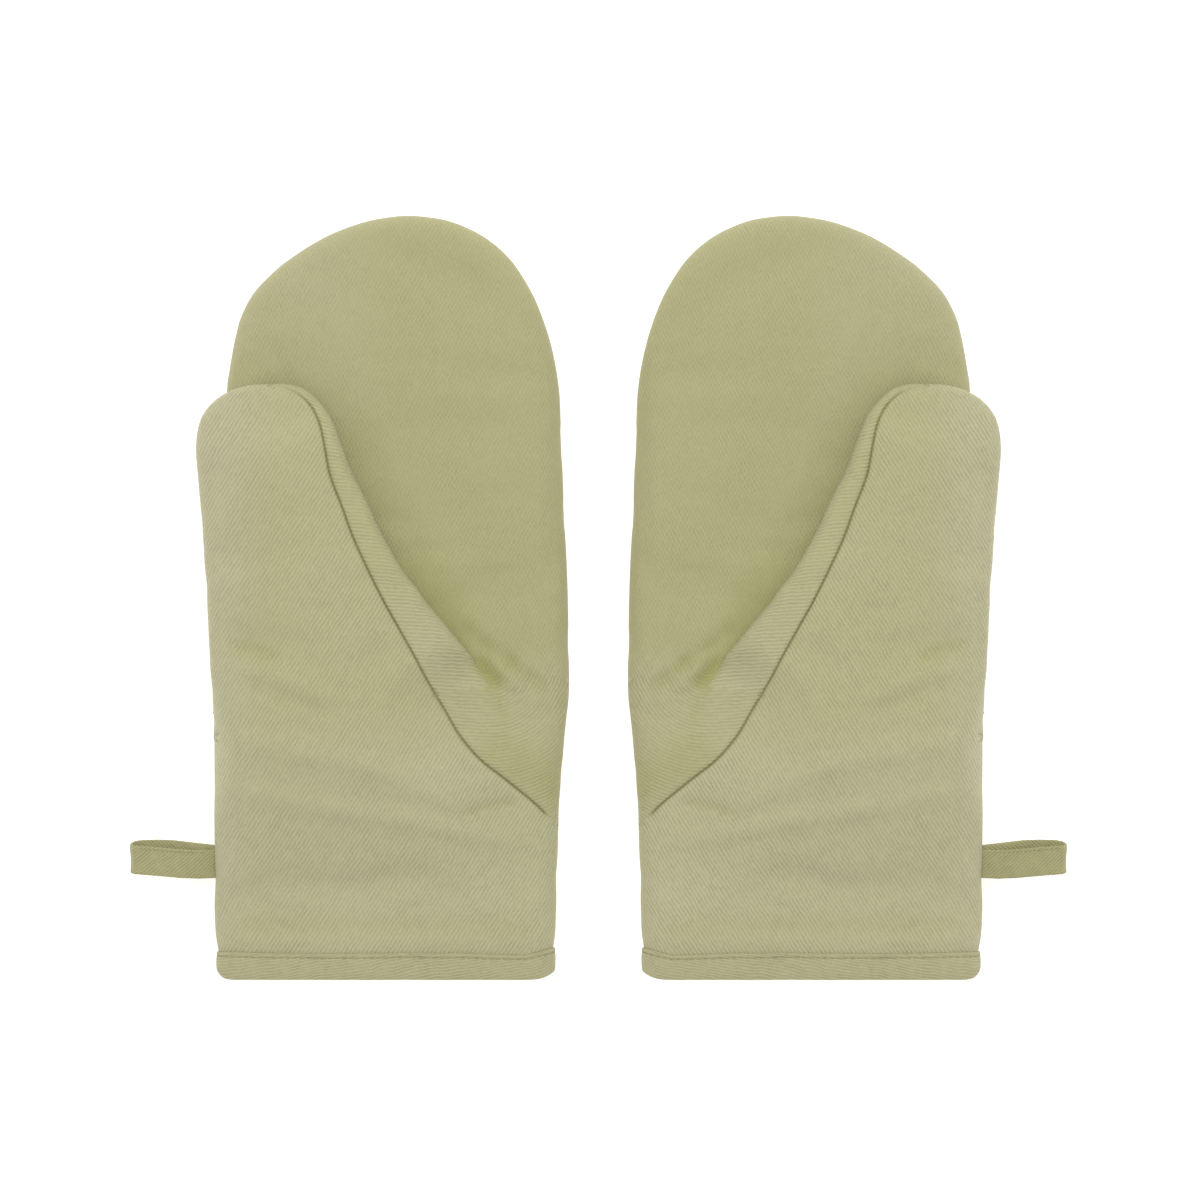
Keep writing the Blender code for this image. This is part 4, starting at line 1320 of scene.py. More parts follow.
# For each cut of twill: how faded, how crossed and how wavy its wales are
TWILL_WALES = {
    "front": (0.35, 0.85, 0.14), "palm": (0.50, 0.55, 0.14), "thumb": (0.40, 0.45, 0.08),
    "back": (0.5, 0.9, 0.14),
}
WEAVE_RELIEF = 0.00022


def twill_material(kind):
    """The twill of one cut."""
    looks = cloth_looks()
    fading, crossing, waviness = TWILL_WALES[kind]
    # The palm takes the darker copy of the twill: painted shade
    colour = tuple(looks.palm if kind == "palm" else looks.twill)
    # The masks of painted shade and of the seam groove's painted shade, with their tones
    tones = (("painted_shade", tuple(looks.painted_shade)), ("seam_shade", tuple(looks.seam_shade)))
    settings = {
        "Pitch": looks.wale_pitch * (0.96 if kind == "palm" else 1.0), "Fading": fading,
        "Waviness": waviness, "Crossing": crossing}
    return cloth_material(
        "twill_" + kind, colour, twill_group(), settings, 0.115, WEAVE_RELIEF, tones)


def binding_material():
    """The binding's twill, cut on the bias."""
    looks = cloth_looks()
    settings = {"Pitch": 0.0013, "Fading": 0.4, "Waviness": 0.5}
    return cloth_material(
        "bias_binding", tuple(looks.binding), twill_group(), settings, 0.12, WEAVE_RELIEF)


def tape_material():
    """The loop's tape."""
    looks = cloth_looks()
    settings = {"Pitch": 0.0012, "Fading": 0.15, "Waviness": 0.1}
    return cloth_material(
        "twill_tape", tuple(looks.tape), twill_group(), settings, 0.14, WEAVE_RELIEF)


def lining_material():
    """The plain lining."""
    looks = cloth_looks()
    return cloth_material(
        "plain_lining", tuple(looks.lining), plain_group(), {"Pitch": 0.0008}, 0.10, 0.0001)


def fibre_material(name, colour, dull, scale, detail, roughness):
    """A material of fibres whose colour is mottled, with its wiring, its place and its shader."""
    material = bpy.data.materials.new(name)
    material.use_nodes = True
    wiring = Wiring(material.node_tree)
    shader = material.node_tree.nodes["Principled BSDF"]
    place = wiring.node("ShaderNodeTexCoord").outputs["Object"]
    mottle = wiring.noise(place, scale, detail, roughness)
    dark = tuple(value * dull for value in colour)
    tint = wiring.mix(mottle, (*dark, 1.0), (*colour, 1.0))
    wiring.join(tint, shader.inputs["Base Color"])
    Workshop.materials[name] = material
    return material, wiring, place, shader


def wadding_material():
    """The white fibre wadding."""
    name = "fibre_wadding"
    if name in Workshop.materials:
        return Workshop.materials[name]
    material, wiring, place, shader = fibre_material(
        name, tuple(cloth_looks().wadding), 0.9, 140.0, 3.0, 0.6)
    relief = wiring.node("ShaderNodeBump")
    relief.inputs["Distance"].default_value = 0.0006
    wiring.join(wiring.noise(place, 900.0, 5.0, 0.7), relief.inputs["Height"])
    wiring.join(relief.outputs["Normal"], shader.inputs["Normal"])
    shader.inputs["Roughness"].default_value = 1.0
    return material


def thread_material():
    """The sewing thread, twisted from plies."""
    name = "sewing_thread"
    if name in Workshop.materials:
        return Workshop.materials[name]
    material, _, _, shader = fibre_material(
        name, tuple(cloth_looks().thread), 0.82, 2600.0, 2.0, 0.5)
    shader.inputs["Roughness"].default_value = 0.7
    return material


def cloth_piece(name, side, panels, material):
    """A piece of the outer cloth made of whole panels, with the skin's own smooth normals."""
    shop = workshop()
    sizes = glove_sizes()
    skin = shop.skin
    used = sorted({index for panel in panels for index in skin.panel_vertices[panel]})
    order = {index: number for number, index in enumerate(used)}
    world = to_world(shop.points[used], side)
    flip = -1 if side > 0 else 1
    faces = []
    for panel in panels:
        for face in skin.faces[panel]:
            faces.append([order[index] for index in face][::flip])
    mesh = bpy.data.meshes.new(name)
    mesh.from_pydata(world.tolist(), [], faces)
    mesh.shade_smooth()
    layer = mesh.uv_layers.new(name="weave")
    for shade, value in shades(skin, panels, used):
        made = mesh.attributes.new(shade, "FLOAT", "POINT")
        made.data.foreach_set("value", value)
    values = np.zeros((len(mesh.loops), 2))
    vertices = np.zeros(len(mesh.loops), dtype=int)
    mesh.loops.foreach_get("vertex_index", vertices)
    first = 0
    for panel in panels:
        weave = np.zeros((len(skin.plan), 2))
        weave[skin.panel_vertices[panel]] = weave_coordinates(sizes, skin, panel)
        count = 3 * len(skin.faces[panel])
        source = np.array(used)[vertices[first:first + count]]
        values[first:first + count] = weave[source]
        first += count
    layer.data.foreach_set("uv", values.ravel())
    normals = shop.normals[used].copy()
    if side > 0:
        normals[:, 0] *= -1
    mesh.normals_split_custom_set_from_vertices(normals.tolist())
    return link_piece(name, mesh, material)


def layer_room(skin, panels, used):
    """The share of their full depth that the layers inside have room for."""
    plan = skin.plan[used]
    pattern = skin.pattern
    corners = np.array((CROTCH, FOLD_LEFT)) * MM
    away = np.linalg.norm(plan[:, None] - corners[None], axis=2).min(axis=1)
    room = np.clip((away - 0.004) / 0.020, 0.15, 1.0)
    if "palm" in panels or "back" in panels:
        return room
    gap = pattern.thumb_top(plan) - pattern.thumb_under(plan)
    near_edge = nearest(plan, pattern.thumb_side)[0] < 0.009
    full = pattern.thickness(plan) * pattern.freedom(plan)
    gap = np.where(near_edge, np.maximum(gap, full), gap)
    fold = np.array((FOLD_LEFT, CROTCH)) * MM
    way = fold[1] - fold[0]
    above = (way[0] * (plan[:, 1] - fold[0][1]) - way[1] * (plan[:, 0] - fold[0][0])) > 0
    gap = np.where(above, gap, 1.0)
    return room * np.clip(gap / 0.0125, 0.10, 1.0)


def layer_piece(name, side, panels, depths, material):
    """A layer inside the glove: a closed pad between two depths below the outer cloth."""
    shop = workshop()
    skin = shop.inner_skin
    points = shop.inner_points
    normals = vertex_normals(points, [face for faces in skin.faces.values() for face in faces])
    used = sorted({index for panel in panels for index in skin.panel_vertices[panel]})
    order = {index: number for number, index in enumerate(used)}
    corners = np.array((CROTCH, FOLD_LEFT)) * MM
    clear = np.array((0.026 if "strip" in panels else 0.022, 0.012))
    faces = []
    for panel in panels:
        for face in skin.faces[panel]:
            middle = skin.plan[face].mean(axis=0)
            if (np.linalg.norm(corners - middle, axis=1) > clear).all():
                faces.append([order[index] for index in face])
    bound = 1 - 0.45 * (1 - ramp(points[used][:, 1], 0.010, 0.008))[:, None]
    bound = bound * layer_room(skin, panels, used)[:, None]
    sides = [points[used] - normals[used] * depth * bound for depth in depths]
    if side > 0:
        faces = [face[::-1] for face in faces]
    count = len(used)
    edges = {(face[index], face[(index + 1) % 3]): 0 for face in faces for index in range(3)}
    rim = [edge for edge in edges if edge[::-1] not in edges]
    below = [[index + count for index in face[::-1]] for face in faces]
    walls = [[b, a, a + count, b + count] for a, b in rim]
    world = to_world(np.vstack(sides), side)
    mesh = bpy.data.meshes.new(name)
    mesh.from_pydata(world.tolist(), [], faces + below + walls)
    mesh.shade_smooth()
    layer = mesh.uv_layers.new(name="weave")
    for loop in mesh.loops:
        layer.data[loop.index].uv = mesh.vertices[loop.vertex_index].co.xy
    return link_piece(name, mesh, material)


def bend_with_thumb(piece, side):
    """Works out the ends of the fold at the thumb's root, and bakes a piece's place into its mesh.
    """
    left = np.array(FOLD_LEFT) * MM
    right = np.array(CROTCH) * MM
    along = (right - left) / np.linalg.norm(right - left)
    up = np.array((-along[1], along[0]))
    start = (left + right) / 2
    end = start + up * BEND_WIDTH
    places = to_world(np.array(((*start, BEND_LEVEL), (*end, BEND_LEVEL))), side).tolist()
    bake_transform(piece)


def fit_piece(piece, name, side, cut, layer):
    """Hides the solids of a glove that a piece stands for, and hangs the piece on the hand's body
    unless it crosses the thumb's fold.
    """
    _, nodes, bends = CUTS[cut]
    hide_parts(*["%s_%s_%s" % (name, node, layer) for node in nodes])
    if bends:
        bend_with_thumb(piece, side)
    else:
        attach(piece, name + "_hand")


def dress_outside(cut):
    """Makes one cut of the outer cloth for both gloves."""
    for name, side in SIDES:
        piece = cloth_piece(
            "%s_%s_cloth" % (name, cut), side, CUTS[cut][0], twill_material(cut))
        fit_piece(piece, name, side, cut, "shell")


class OVENGLOVE_OT_front_cloths(bpy.types.Operator):
    """Cut the front panels of twill, from the cuff up the front of each thumb"""

    bl_idname = "ovenglove.front_cloths"
    bl_label = "Front cloths"

    def execute(self, context):
        dress_outside("front")
        return {"FINISHED"}


class OVENGLOVE_OT_palm_cloths(bpy.types.Operator):
    """Cut the part of the inner panels that lines the palms and the webs beside the thumbs"""

    bl_idname = "ovenglove.palm_cloths"
    bl_label = "Palm cloths"

    def execute(self, context):
        dress_outside("palm")
        return {"FINISHED"}


class OVENGLOVE_OT_thumb_cloths(bpy.types.Operator):
    """Cut the part of the inner panels that wraps the inner side of the thumbs"""

    bl_idname = "ovenglove.thumb_cloths"
    bl_label = "Thumb cloths"

    def execute(self, context):
        dress_outside("thumb")
        return {"FINISHED"}


class OVENGLOVE_OT_back_cloths(bpy.types.Operator):
    """Cut the back panels of twill, which lie on the table"""

    bl_idname = "ovenglove.back_cloths"
    bl_label = "Back cloths"

    def execute(self, context):
        dress_outside("back")
        return {"FINISHED"}


class OVENGLOVE_OT_waddings(bpy.types.Operator):
    """Lay the wadding behind each panel"""

    bl_idname = "ovenglove.waddings"
    bl_label = "Waddings"

    def execute(self, context):
        for name, side in SIDES:
            for cut, (panels, _, _) in CUTS.items():
                piece = layer_piece(
                    "%s_%s_wadding_pad" % (name, cut), side, panels, WADDING_DEPTHS,
                    wadding_material())
                fit_piece(piece, name, side, cut, "wadding")
        return {"FINISHED"}


class OVENGLOVE_OT_linings(bpy.types.Operator):
    """Lay the lining behind each panel"""

    bl_idname = "ovenglove.linings"
    bl_label = "Linings"

    def execute(self, context):
        for name, side in SIDES:
            for cut, (panels, _, _) in CUTS.items():
                piece = layer_piece(
                    "%s_%s_lining_cloth" % (name, cut), side, panels, LINING_DEPTHS,
                    lining_material())
                fit_piece(piece, name, side, cut, "lining")
        return {"FINISHED"}


# Across the binding from its outer top edge round the cuff's rim to its inner edge: height as a
# share of the width, and distance out of the twill in millimetres
BINDING_PROFILE = (
    (0.945, 0.10), (0.985, 0.45), (1.0, 0.85), (0.975, 1.15), (0.92, 1.25), (0.865, 1.16),
    (0.83, 0.78), (0.795, 1.16), (0.72, 1.30), (0.60, 1.36), (0.45, 1.38), (0.30, 1.36),
    (0.17, 1.28), (0.08, 1.05), (0.025, 0.65), (0.0, 0.05), (-0.01, -1.2), (0.0, -2.4),
    (0.03, -3.2), (0.10, -3.7), (0.25, -3.9), (0.5, -3.9), (0.8, -3.9), (0.97, -3.8),
    (1.0, -3.5), (0.97, -3.25),
)


# The rows of the profile that carry the stitches and that the weave is measured round
STITCH_ROW = 6
WEAVE_ROW = 8
BIAS_ANGLE = 80
CUFF_POINTS = 92


def cuff_section(pattern):
    """Points round the cuff's section at the twill, with the ways out."""
    level = pattern.level
    reach = pattern.level - BINDING_PINCH
    left = CUFF_LEFT[0] * MM
    width = CUFF_RIGHT[0] * MM - left
    edge = pattern.sizes.hand_edge
    shares = np.concatenate((
        np.linspace(0, 1, 14) ** 2 * edge,
        np.linspace(edge, width - edge, CUFF_POINTS)[1:-1],
        width - (np.linspace(1, 0, 14) ** 2 * edge)))
    gap = np.minimum(shares, width - shares)
    upper = np.column_stack((left + shares, level + reach * rise(gap / edge)))
    lower = np.column_stack((left + shares, level - reach * rise(gap / edge)))[::-1]
    ring = np.vstack((upper, lower[1:-1]))
    before = np.roll(ring, 1, axis=0)
    after = np.roll(ring, -1, axis=0)
    ways = after - before
    ways /= np.linalg.norm(ways, axis=1)[:, None]
    outwards = np.column_stack((-ways[:, 1], ways[:, 0]))
    return ring, outwards


def binding_heights(x):
    """The binding's upper edge and lower edge over the width of the cuff."""
    top = np.interp(x / MM, (-73, -60, -30, 0, 30, 50, 60, 68, 73),
                    (12.2, 11.6, 11.3, 11.5, 11.6, 10.8, 10.7, 12.6, 14.0)) * MM
    bottom = np.interp(x / MM, (-72.1, -71.2, -70.3, -69, -67, 60, 64, 67.1, 69.2, 70.6, 72.0),
                       (3.4, 1.7, 0.8, 0.3, 0.0, 0.0, 0.1, 0.45, 1.2, 1.9, 3.0)) * MM
    return bottom, top


def binding_rows(pattern):
    """The rings of the binding, and its stitch line."""
    trims = trim_sizes()
    ring, outwards = cuff_section(pattern)
    bottom, top = binding_heights(ring[:, 0])
    scale = trims.binding_width / 0.012
    uneven = np.array([noise.noise(Vector((x * 60, z * 60, 4.0))) for x, z in ring])
    rows = []
    for share, out in BINDING_PROFILE:
        height = bottom + (top * scale - bottom) * share
        height = height + 0.00035 * uneven * (1 if share > 0.7 else 0.3)
        wobble = 0.00012 * np.array([
            noise.noise(Vector((x * 130, z * 130, share * 3))) for x, z in ring])
        spread_out = out * MM * trims.binding_rise / 0.0012 if out > 0 else out * MM
        at = ring + outwards * (spread_out + wobble)[:, None]
        rows.append(np.column_stack((at[:, 0], height, at[:, 1])))
    stitch_line = rows[STITCH_ROW].copy()
    lift = outwards * 0.00018
    stitch_line[:, 0] += lift[:, 0]
    stitch_line[:, 2] += lift[:, 1]
    return rows, stitch_line


def ring_mesh(name, rows, side):
    """A mesh of closed rings, one after the other, with a weave map along and across."""
    count = len(rows[0])
    points = to_world(np.vstack(rows), side)
    faces = []
    for row in range(len(rows) - 1):
        for index in range(count):
            after = (index + 1) % count
            face = [row * count + index, (row + 1) * count + index,
                    (row + 1) * count + after, row * count + after]
            faces.append(face if side < 0 else face[::-1])
    mesh = bpy.data.meshes.new(name)
    mesh.from_pydata(points.tolist(), [], faces)
    mesh.shade_smooth()
    layer = mesh.uv_layers.new(name="weave")
    ring = np.vstack((rows[WEAVE_ROW], rows[WEAVE_ROW][:1]))
    around = np.linalg.norm(np.diff(ring, axis=0), axis=1)
    around = np.concatenate(((0.0,), np.cumsum(around)))
    across = [0.0]
    for row in range(1, len(rows)):
        across.append(across[-1] + float(np.median(
            np.linalg.norm(rows[row] - rows[row - 1], axis=1))))
    turn = math.radians(BIAS_ANGLE)
    place = 0
    for row in range(len(rows) - 1):
        for index in range(count):
            corners = [(row, index), (row + 1, index), (row + 1, index + 1), (row, index + 1)]
            if side > 0:
                corners = corners[::-1]
            for at, step in corners:
                u = around[step] * math.cos(turn) + across[at] * math.sin(turn)
                v = -around[step] * math.sin(turn) + across[at] * math.cos(turn)
                layer.data[place].uv = (u, v)
                place += 1
    return mesh


class OVENGLOVE_OT_bindings(bpy.types.Operator):
    """Fold the binding round each cuff"""

    bl_idname = "ovenglove.bindings"
    bl_label = "Cuff bindings"

    def execute(self, context):
        rows = binding_rows(workshop().skin.pattern)[0]
        for name, side in SIDES:
            mesh = ring_mesh(name + "_binding_strip", rows, side)
            piece = link_piece(name + "_binding_strip", mesh, binding_material())
            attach(piece, name + "_hand")
            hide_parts(name + "_cuff_binding")
        return {"FINISHED"}


TAPE_STEP = 0.0010
TAPE_WEAVE_ANGLE = 48
TAPE_PARTS = (0.12, 0.24, 0.38, 0.52, 0.66, 0.80)

# Round the tape's section: across as a share of its width, and out as a share of half its thickness
TAPE_SECTION = (
    (-0.5, 0.0), (-0.485, 0.75), (-0.44, 1.0), (-0.3, 0.96), (-0.1, 0.9), (0.1, 0.9),
    (0.3, 0.96), (0.44, 1.0), (0.485, 0.75), (0.5, 0.0), (0.485, -0.75), (0.44, -1.0),
    (0.3, -0.96), (0.1, -0.9), (-0.1, -0.9), (-0.3, -0.96), (-0.44, -1.0), (-0.485, -0.75),
)


def loop_path():
    """The tape's middle line seen from the cuff: out of the seam, round and back below."""
    trims = trim_sizes()
    level = glove_sizes().hand_thickness / 2
    root = LEFT_LOW[5][0] * MM
    tip = root - trims.loop_reach
    half = 0.0029
    eye = 0.0040
    points = [(root + 0.0010, level + 0.0006), (root - 0.0010, level + 0.0008)]
    for part in TAPE_PARTS:
        x = root + (tip + half - root) * part
        points.append((x, level + 0.0008 + (eye - 0.0009) * math.sin(part * math.pi / 2) ** 1.4))
    for step in range(1, 10):
        angle = math.pi / 2 + math.pi * step / 10
        points.append((
            tip + half + 0.0003 + half * math.cos(angle) * 1.05,
            level + 0.0001 + (eye - 0.0002) * math.sin(angle)))
    for part in TAPE_PARTS[::-1]:
        x = root + (tip + half - root) * part
        points.append((x, level - 0.0008 - (eye - 0.0009) * math.sin(part * math.pi / 2) ** 1.4))
    points += [(root - 0.0010, level - 0.0008), (root + 0.0010, level - 0.0006)]
    return resample([(x / MM, z / MM) for x, z in points], TAPE_STEP)


def tape_shift(part):
    """How far the tape's middle lies above its level along its path."""
    return float(np.interp(
        part, (0.0, 0.1, 0.2, 0.32, 0.45, 0.50, 0.53, 0.58, 0.67, 0.76, 0.9, 1.0),
        (0.1, -0.2, 0.1, 1.0, 1.8, 2.3, 3.3, 4.1, 4.3, 4.1, 2.8, 1.9))) * MM


def tape_edge():
    """The row of stitches along the upper edge of the loop's front layer."""
    trims = trim_sizes()
    path = loop_path()
    points = []
    for index in range(7, round(len(path) * 0.44)):
        height = trims.loop_height + 0.41 * trims.tape_width + tape_shift(index / (len(path) - 1))
        level = path[index][1] + trims.tape_thickness / 2 + 0.00012
        points.append((path[index][0], height, level))
    return np.array(points)


def tape_mesh(name, side):
    """Sweeps the flat tape along its path."""
    trims = trim_sizes()
    path = loop_path()
    count = len(path)
    ways = np.gradient(path, axis=0)
    ways /= np.linalg.norm(ways, axis=1)[:, None]
    outwards = np.column_stack((ways[:, 1], -ways[:, 0]))
    width = trims.tape_width
    half = trims.tape_thickness / 2
    points = []
    for index in range(count):
        part = index / (count - 1)
        shift = tape_shift(part)
        for share, out in TAPE_SECTION:
            wave = 0.00025 * math.sin(part * 11 + share * 5)
            at = path[index] + outwards[index] * (out * half + wave)
            height = trims.loop_height + share * width + shift
            points.append((at[0], height, at[1]))
    ring = len(TAPE_SECTION)
    faces = []
    for index in range(count - 1):
        for step in range(ring):
            after = (step + 1) % ring
            faces.append([index * ring + step, (index + 1) * ring + step,
                          (index + 1) * ring + after, index * ring + after])
    faces.append(list(range(ring)))
    faces.append([(count - 1) * ring + step for step in range(ring)][::-1])
    mesh = bpy.data.meshes.new(name)
    mesh.from_pydata(to_world(np.array(points), side).tolist(), [], faces)
    shape = bmesh.new()
    shape.from_mesh(mesh)
    bmesh.ops.recalc_face_normals(shape, faces=shape.faces)
    shape.to_mesh(mesh)
    shape.free()
    mesh.shade_smooth()
    run = np.concatenate(((0.0,), np.cumsum(np.linalg.norm(np.diff(path, axis=0), axis=1))))
    layer = mesh.uv_layers.new(name="weave")
    turn = math.radians(TAPE_WEAVE_ANGLE)
    for loop in mesh.loops:
        index, step = divmod(loop.vertex_index, ring)
        along = run[index] * (1 if side < 0 else -1)
        over = TAPE_SECTION[step][0] * width
        layer.data[loop.index].uv = (
            along * math.cos(turn) + over * math.sin(turn),
            -along * math.sin(turn) + over * math.cos(turn))
    return mesh


class OVENGLOVE_OT_loops(bpy.types.Operator):
    """Fold the tape of each hanging loop"""

    bl_idname = "ovenglove.loops"
    bl_label = "Hanging loops"

    def execute(self, context):
        for name, side in SIDES:
            mesh = tape_mesh(name + "_loop_tape", side)
            piece = link_piece(name + "_loop_tape", mesh, tape_material())
            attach(piece, name + "_loop")
            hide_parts(name + "_hanging_loop")
        return {"FINISHED"}


def stitch_tree():
    """Geometry nodes that lay stitches along a line."""
    name = "Stitch row"
    if name in bpy.data.node_groups:
        return bpy.data.node_groups[name]
    tree = bpy.data.node_groups.new(name, "GeometryNodeTree")
    tree.interface.new_socket("Line", in_out="INPUT", socket_type="NodeSocketGeometry")
    for socket, default in (("Stitch length", 0.0021), ("Stitch gap", 0.0009),
                            ("Thread thickness", 0.00045)):
        made = tree.interface.new_socket(socket, in_out="INPUT", socket_type="NodeSocketFloat")
        made.default_value = default
    tree.interface.new_socket("Thread", in_out="INPUT", socket_type="NodeSocketMaterial")
    tree.interface.new_socket("Stitches", in_out="OUTPUT", socket_type="NodeSocketGeometry")
    wiring = Wiring(tree)
    start = wiring.node("NodeGroupInput")
    end = wiring.node("NodeGroupOutput")
    curve = wiring.node("GeometryNodeMeshToCurve")
    places = wiring.node("GeometryNodeResampleCurve", mode="LENGTH")
    ball = wiring.node("GeometryNodeMeshUVSphere")
    ball.inputs["Segments"].default_value = 6
    ball.inputs["Rings"].default_value = 5
    ball.inputs["Radius"].default_value = 0.5
    tangent = wiring.node("GeometryNodeInputTangent")
    align = wiring.node("FunctionNodeAlignRotationToVector", axis="Z")
    scale = wiring.node("ShaderNodeCombineXYZ")
    lay = wiring.node("GeometryNodeInstanceOnPoints")
    real = wiring.node("GeometryNodeRealizeInstances")
    smooth = wiring.node("GeometryNodeSetShadeSmooth")
    dye = wiring.node("GeometryNodeSetMaterial")
    given = start.outputs
    pitch = wiring.math("ADD", given["Stitch length"], given["Stitch gap"])
    for source, node, socket in (
            (given["Line"], curve, "Mesh"), (curve.outputs["Curve"], places, "Curve"),
            (pitch, places, "Length"), (tangent.outputs[0], align, "Vector"),
            (given["Thread thickness"], scale, "X"), (given["Thread thickness"], scale, "Y"),
            (given["Stitch length"], scale, "Z"), (places.outputs["Curve"], lay, "Points"),
            (ball.outputs["Mesh"], lay, "Instance"), (align.outputs["Rotation"], lay, "Rotation"),
            (scale.outputs[0], lay, "Scale"), (lay.outputs["Instances"], real, "Geometry"),
            (real.outputs["Geometry"], smooth, "Geometry"),
            (smooth.outputs["Geometry"], dye, "Geometry"), (given["Thread"], dye, "Material"),
            (dye.outputs["Geometry"], end, "Stitches")):
        wiring.join(source, node.inputs[socket])
    return tree


# Length, gap and thread of the finer stitches on the loops
LOOP_STITCHES = (0.0011, 0.0007, 0.0003)


def stitch_piece(name, line, length, gap, thickness):
    """Lays stitches along a line of points, and turns them into a plain mesh."""
    edges = [(index, index + 1) for index in range(len(line) - 1)]
    mesh = bpy.data.meshes.new(name + "_line")
    mesh.from_pydata(line.tolist(), edges, [])
    guide = bpy.data.objects.new(name + "_line", mesh)
    bpy.context.scene.collection.objects.link(guide)
    sewing = guide.modifiers.new("sewing", "NODES")
    tree = stitch_tree()
    sewing.node_group = tree
    values = {"Stitch length": length, "Stitch gap": gap, "Thread thickness": thickness,
              "Thread": thread_material()}
    for item in tree.interface.items_tree:
        if item.item_type == "SOCKET" and item.in_out == "INPUT" and item.name in values:
            sewing[item.identifier] = values[item.name]
    made = bpy.data.meshes.new_from_object(
        guide.evaluated_get(bpy.context.evaluated_depsgraph_get()))
    bpy.data.objects.remove(guide, do_unlink=True)
    bpy.data.meshes.remove(mesh)
    if len(made.vertices) == 0:
        raise RuntimeError("no stitches were laid for " + name)
    made.name = name
    return link_piece(name, made, thread_material())


class OVENGLOVE_OT_stitches(bpy.types.Operator):
    """Sew the bindings and the loops"""

    bl_idname = "ovenglove.stitches"
    bl_label = "Stitches"

    def execute(self, context):
        trims = trim_sizes()
        line = binding_rows(workshop().skin.pattern)[1]
        ring = np.vstack((line, line[:1]))
        for name, side in SIDES:
            piece = stitch_piece(
                name + "_binding_stitches", to_world(ring, side), trims.stitch_length,
                trims.stitch_gap, trims.thread_thickness)
            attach(piece, name + "_hand")
            piece = stitch_piece(
                name + "_loop_stitches", to_world(tape_edge(), side), *LOOP_STITCHES)
            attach(piece, name + "_loop")
        return {"FINISHED"}


TABLE_HALF = 12.0
TABLE_LEVEL = -0.0006
LAMP_PLACE = (0.0, 2.2, 3.8)
LAMP_SIZE = 2.4
SENSOR_WIDTH = 36.0
CAMERA_SHIFT = (0.00065, -0.00097)


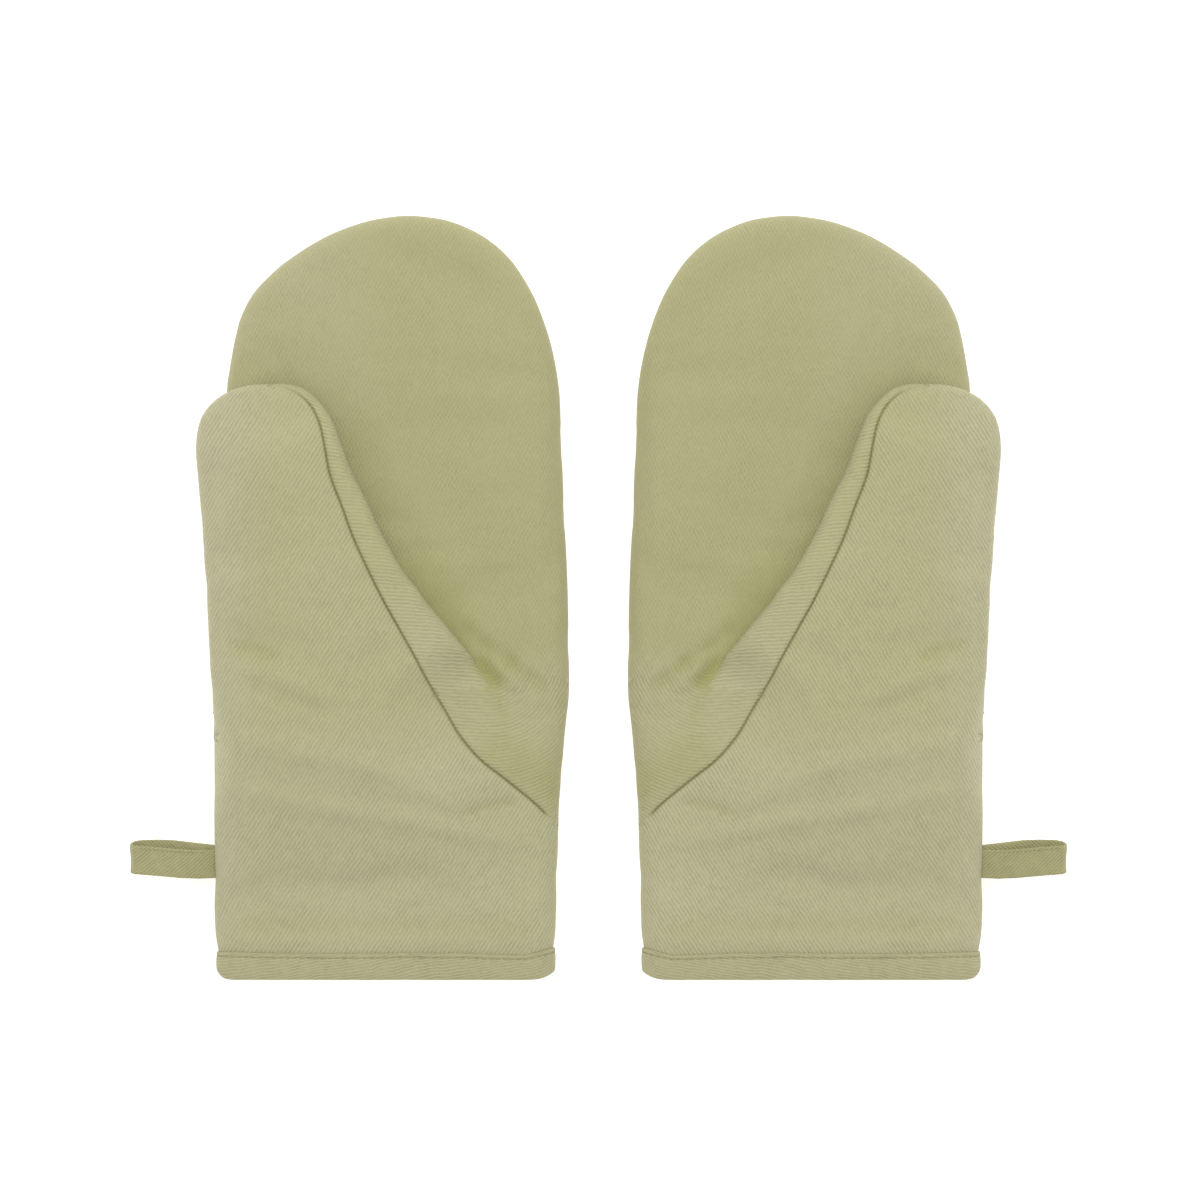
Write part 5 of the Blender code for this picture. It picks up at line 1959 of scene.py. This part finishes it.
class OVENGLOVE_OT_stage(bpy.types.Operator):
    """Set up the white table, the soft light and the camera above"""

    bl_idname = "ovenglove.stage"
    bl_label = "Stage"

    def execute(self, context):
        scene = context.scene
        looks = scene.stage_looks
        scene.view_settings.view_transform = "Standard"
        scene.view_settings.look = "None"
        world = bpy.data.worlds.new("soft_sky")
        world.use_nodes = True
        sky = world.node_tree.nodes["Background"]
        sky.inputs["Color"].default_value = (1.0, 1.0, 1.0, 1.0)
        sky.inputs["Strength"].default_value = looks.sky
        scene.world = world
        table = bpy.data.meshes.new("table")
        table.from_pydata(
            [(x * TABLE_HALF, y * TABLE_HALF, TABLE_LEVEL)
             for x, y in ((-1, -1), (1, -1), (1, 1), (-1, 1))], [], [(0, 1, 2, 3)])
        white = bpy.data.materials.new("white_table")
        white.use_nodes = True
        shader = white.node_tree.nodes["Principled BSDF"]
        shader.inputs["Base Color"].default_value = (0.92, 0.92, 0.92, 1.0)
        shader.inputs["Roughness"].default_value = 0.9
        shader.inputs["Emission Color"].default_value = (1.0, 1.0, 1.0, 1.0)
        shader.inputs["Emission Strength"].default_value = 0.55
        link_piece("table", table, white)
        lamp = bpy.data.lights.new("broad_lamp", "AREA")
        lamp.shape = "DISK"
        lamp.size = LAMP_SIZE
        lamp.energy = looks.lamp
        holder = bpy.data.objects.new("broad_lamp", lamp)
        holder.location = LAMP_PLACE
        holder.rotation_euler = (-math.atan2(LAMP_PLACE[1], LAMP_PLACE[2]), 0.0, 0.0)
        scene.collection.objects.link(holder)
        lens = bpy.data.cameras.new("overhead_camera")
        lens.sensor_width = SENSOR_WIDTH
        distance = looks.camera_height - glove_sizes().hand_thickness / 2
        lens.lens = SENSOR_WIDTH * distance / looks.frame_width
        lens.clip_end = 30.0
        camera = bpy.data.objects.new("overhead_camera", lens)
        camera.location = (*CAMERA_SHIFT, looks.camera_height)
        scene.collection.objects.link(camera)
        scene.camera = camera
        return {"FINISHED"}


class OVENGLOVE_PT_pieces(bpy.types.Panel):
    """Lists the steps that make the gloves"""

    bl_label = "Oven gloves"
    bl_idname = "OVENGLOVE_PT_pieces"
    bl_space_type = "VIEW_3D"
    bl_region_type = "UI"
    bl_category = "Oven gloves"

    def draw(self, context):
        for step in STEPS:
            self.layout.operator(step.bl_idname)


STEPS = (
    OVENGLOVE_OT_stage,
    OVENGLOVE_OT_front_cloths,
    OVENGLOVE_OT_palm_cloths,
    OVENGLOVE_OT_thumb_cloths,
    OVENGLOVE_OT_back_cloths,
    OVENGLOVE_OT_waddings,
    OVENGLOVE_OT_linings,
    OVENGLOVE_OT_bindings,
    OVENGLOVE_OT_loops,
    OVENGLOVE_OT_stitches,
)
GROUPS = (
    ("glove_sizes", GloveSizes),
    ("trim_sizes", TrimSizes),
    ("cloth_looks", ClothLooks),
    ("stage_looks", StageLooks),
)


def register():
    """Registers the properties, the operators and the panel."""
    for name, group in GROUPS:
        bpy.utils.register_class(group)
        setattr(bpy.types.Scene, name, bpy.props.PointerProperty(type=group))
    for step in STEPS:
        bpy.utils.register_class(step)
    bpy.utils.register_class(OVENGLOVE_PT_pieces)


def unregister():
    """Takes everything out again."""
    bpy.utils.unregister_class(OVENGLOVE_PT_pieces)
    for step in reversed(STEPS):
        bpy.utils.unregister_class(step)
    for name, group in reversed(GROUPS):
        delattr(bpy.types.Scene, name)
        bpy.utils.unregister_class(group)


def main():
    """Makes the gloves and their stage."""
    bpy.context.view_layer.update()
    register()
    for step in STEPS:
        area, _, call = step.bl_idname.partition(".")
        done = getattr(getattr(bpy.ops, area), call)()
        if done != {"FINISHED"}:
            raise RuntimeError(step.bl_label + " wasn't finished")


if __name__ == "__main__":
    main()
